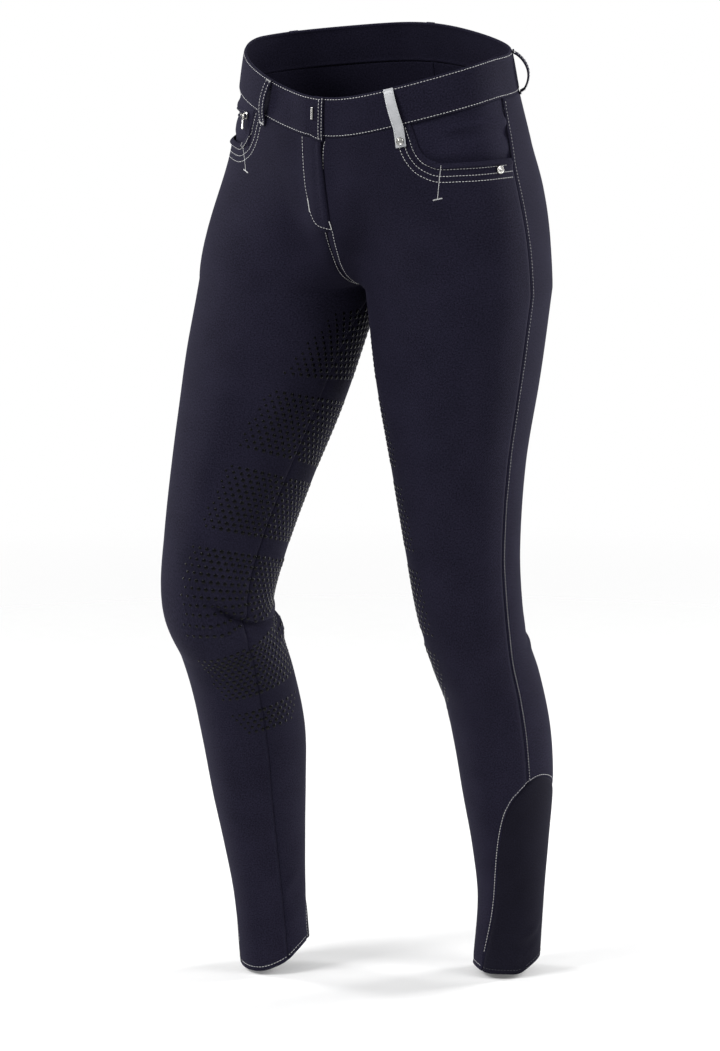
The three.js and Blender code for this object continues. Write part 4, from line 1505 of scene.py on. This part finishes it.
def rivet_cap(scale=1.0):
    cap = bmesh.new()
    corners = [cap.verts.new((r * scale * MM, 0, z * scale * MM)) for r, z in RIVET_OUTLINE]
    edges = [cap.edges.new(pair) for pair in zip(corners, corners[1:])]
    bmesh.ops.spin(cap, geom=corners + edges, cent=(0, 0, 0), axis=(0, 0, 1), angle=2 * math.pi,
                   steps=40, use_merge=True)
    bmesh.ops.remove_doubles(cap, verts=cap.verts, dist=0.005 * MM)
    bmesh.ops.recalc_face_normals(cap, faces=cap.faces)
    return cap


POCKET_RIVET = (0.456, 0.665, 0.35)
LOOP_RIVET = (0.246, 0.92, LOOP_SEAT + 0.95)
for side in ("left", "right"):
    finish_metal(f"rivet_{side}", rivet_cap(), seat(side, *POCKET_RIVET), f"pocket_rivet_{side}")
finish_metal("rivet_loop", rivet_cap(0.92), seat("left", *LOOP_RIVET), "loop_rivet")
print("rivet, mm across:", 2 * RIVET_OUTLINE[-3][0])

# %% [markdown]
# The band closes with a small metal bar that stands upright in a buttonhole. The coin pocket's zip has a
# slider with a bridge, and a plain tab that swings in the bridge. Their edges are bevelled, because on
# real castings nothing is knife sharp and the bevel is what catches the light.

# %% Fastener, slider and tab
def bevelled(shape, size, segments):
    bmesh.ops.bevel(shape, geom=shape.edges, offset=size * MM, offset_type="OFFSET", segments=segments,
                    profile=0.5, affect="EDGES", material=-1)


def block(shape, size, centre):
    matrix = Matrix.Translation(Vector(centre) * MM) @ Matrix.Diagonal((*[x * MM for x in size], 1))
    return bmesh.ops.create_cube(shape, size=1, matrix=matrix)["verts"]


BAR_SIZE = (2.3, 12.8, 1.9)
BAR_AT = ("right", 0.028, 1.585, BAND_PROUD + BAND_OVER + 1.26)
bar = bmesh.new()
block(bar, BAR_SIZE, (0, 0, 0))
bevelled(bar, 0.85, 4)
finish_metal("closure_bar", bar, seat(*BAR_AT), "band_fastener")

ZIP_AT = ("right", 0.307, 0.93, 0.35 - FACING_DROP)
SLIDER_SIZE = (7.6, 7, 2)
BRIDGE_LEG = (1.1, 3.4, 3.5)
slider = bmesh.new()
block(slider, SLIDER_SIZE, (0, 0, 1))
for end in (-1, 1):
    block(slider, BRIDGE_LEG, (end * 3.05, 0, 3.75))
bevelled(slider, 0.35, 2)
finish_metal("slider", slider, seat(*ZIP_AT), "coin_zip_slider")

TAB = {"wide": 4.4, "length": 14.5, "thick": 1.1, "barrel": 1.15, "axis": 3.9}
tab = bmesh.new()
ring = bmesh.ops.create_circle(tab, cap_ends=True, segments=32, radius=TAB["wide"] / 2 * MM)["verts"]
for corner in ring:
    if corner.co.y < -1e-7:
        corner.co.y -= (TAB["length"] - TAB["wide"] / 2) * MM
    else:
        corner.co.y *= 0.3
plate = bmesh.ops.extrude_face_region(tab, geom=list(tab.faces))
raised = [v for v in plate["geom"] if isinstance(v, bmesh.types.BMVert)]
bmesh.ops.translate(tab, verts=raised, vec=(0, 0, TAB["thick"] * MM))
bmesh.ops.translate(tab, verts=tab.verts, vec=(0, 0, -TAB["thick"] / 2 * MM))
bmesh.ops.recalc_face_normals(tab, faces=tab.faces)
caps = [f for f in tab.faces if len(f.verts) > 8]
bmesh.ops.inset_region(tab, faces=caps, thickness=0.7 * MM, depth=-0.25 * MM)
bmesh.ops.create_cone(
    tab, cap_ends=True, segments=20, radius1=TAB["barrel"] * MM, radius2=TAB["barrel"] * MM,
    depth=TAB["wide"] * MM, matrix=Matrix.Rotation(math.pi / 2, 4, "Y"),
)
hung = seat(*ZIP_AT) @ Matrix.Translation((0, 0, TAB["axis"] * MM))
finish_metal("zip_tab", tab, hung, "zip_pull_tab", body="pull")
print("tab, mm:", TAB["wide"], "x", TAB["length"])

# %% [markdown]
# The zip's coil runs from the slider towards the side seam, between the two lips of the facing. The real
# one is a spiral of nylon. At this size one egg a turn reads the same, and repeating it is cheap.

# %% Zip coil
def on_right_facing(u, v, lift):
    return facing_point("right", u, v, lift)


COIL_END = ZIP_TO - 0.01
coil_low = ZIP_HIGH - (COIL_END - ZIP_FROM) * ZIP_FALL
coil_path = straight_path((ZIP_FROM + 0.003, ZIP_HIGH), (COIL_END, coil_low))
places, along, out = walk(on_right_facing, coil_path, 1.15)
repeat("zip_coil", small_ball(0.8, 3.4, 1.0), places, along, out, navy_thread)
walks = [walk(on_right_facing, beside(on_right_facing, coil_path, off)) for off in (4.6, -4.6)]
sew("zip_stitching", walks, navy_thread)

# %% [markdown]
# The camera needs something to stand the cloth against: a plain pale floor that fades into the white
# of the sky. Two soft boxes stand high on either side, so that the middle of the cloth stays dark and its
# flanks and folds catch the light, and a strip behind each side draws the edges. Each light's row gives
# how far it stands towards the camera, to the right and up, its width, its height and its power. The sky
# is white where the camera sees it and gives less than half of that as light.

# %% Studio
def pale_paper():
    material, tree = new_material("pale_paper")
    place = add_node(tree, "ShaderNodeTexCoord")
    fibre = add_node(tree, "ShaderNodeTexNoise", {"Vector": place.outputs["Object"]}, Scale=40.0)
    tint = add_node(tree, "ShaderNodeMix", {"Factor": fibre.outputs[0]},
                    {6: linear("#f4f4f4"), 7: linear("#f8f8f8")}, data_type="RGBA")
    paper = add_node(tree, "ShaderNodeBsdfPrincipled", {"Base Color": tint.outputs[2]}, Roughness=0.9)
    flat = add_node(tree, "ShaderNodeMapping", {"Vector": place.outputs["Object"]}, Scale=(1, 1, 0))
    far = add_node(tree, "ShaderNodeVectorMath", {0: flat.outputs[0]}, operation="LENGTH")
    fade = add_node(tree, "ShaderNodeMapRange", {"Value": far.outputs["Value"]}, From_Min=0.5, From_Max=2.2)
    clear = add_node(tree, "ShaderNodeBsdfTransparent")
    shader = add_node(tree, "ShaderNodeMixShader",
                      {0: fade.outputs[0], 1: paper.outputs[0], 2: clear.outputs[0]})
    finish_material(tree, shader)
    return material


def soft_light(name, location, width, height, power):
    data = bpy.data.lights.new(name, "AREA")
    data.shape = "RECTANGLE"
    data.size = width
    data.size_y = height
    data.energy = power
    light = bpy.data.objects.new(name, data)
    bpy.context.scene.collection.objects.link(light)
    light.location = location
    light.rotation_mode = "QUATERNION"
    light.rotation_quaternion = (location - Vector(LIT_MIDDLE)).to_track_quat("Z", "Y")


floor_sheet = bmesh.new()
bmesh.ops.create_grid(floor_sheet, x_segments=2, y_segments=2, size=9)
bmesh.ops.translate(floor_sheet, verts=floor_sheet.verts, vec=(0, 0, cad_low.z - 0.004))
floor_mesh = bpy.data.meshes.new("floor")
floor_sheet.to_mesh(floor_mesh)
floor_sheet.free()
floor = bpy.data.objects.new("floor", floor_mesh)
bpy.context.scene.collection.objects.link(floor)
floor_mesh.materials.append(pale_paper())
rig.stage(floor)

LIT_MIDDLE = (0, 0, -0.45)
LIGHTS = {
    "box_left": (1.5, -2.4, 1.5, 1.0, 1.0, 72),
    "box_right": (1.1, 2.6, 1.2, 1.4, 1.4, 46),
    "strip_left": (-0.9, -2.0, 0.1, 0.5, 2.2, 36),
    "strip_right": (-0.9, 2.0, 0.1, 0.5, 2.2, 46),
}
for name, (near, aside, high, width, height, power) in LIGHTS.items():
    soft_light(name, back * near + right * aside + Vector((0, 0, high)), width, height, power)
print("lights:", len(LIGHTS))

SKY_LIGHT = 0.42
world = bpy.data.worlds.new("studio")
world.use_nodes = True
sky = world.node_tree
seen = sky.nodes["Background"]
seen.inputs[0].default_value = (1, 1, 1, 1)
seen.inputs[1].default_value = 1.0
given = add_node(sky, "ShaderNodeBackground", Color=(1, 1, 1, 1), Strength=SKY_LIGHT)
ray = add_node(sky, "ShaderNodeLightPath")
either = add_node(sky, "ShaderNodeMixShader", {
    0: ray.outputs["Is Camera Ray"], 1: given.outputs[0], 2: seen.outputs[0],
})
sky.links.new(either.outputs[0], sky.nodes["World Output"].inputs["Surface"])
bpy.context.scene.world = world
bpy.context.scene.view_settings.view_transform = "Standard"

# %% [markdown]
# Each cloth piece is declared with the box that its flat cut fills, width by length, and with its own
# area. The area is measured on the piece, and it is less than the box's, because no cut is a rectangle.

# %% Cut sizes
def declare(piece, width, length):
    area = min(flat_area(piece), width * length)
    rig.sheet(piece, flat=(width, length), held="stretched", area=area)
    print(piece.name, "cut", width, "x", length, "m, area", round(area, 4))


for side in ("right", "left"):
    declare(panels["front", side], 0.30, 0.93)
    declare(panels["back", side], 0.33, 0.98)
    declare(inserts[side], 0.15, 0.23)
    declare(facings[side], 0.12, 0.09)
declare(band, 0.83, 0.042)
for name, piece in loops.items():
    declare(piece, LOOPS[name][5] * MM, 0.056)

# %% The two boxes, and the end
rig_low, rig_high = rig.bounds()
sizes = {
    "cad": [list(cad_low), list(cad_high)],
    "visual": [list(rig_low), list(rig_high)],
}
with open("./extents.json", "w") as f:
    json.dump(sizes, f)
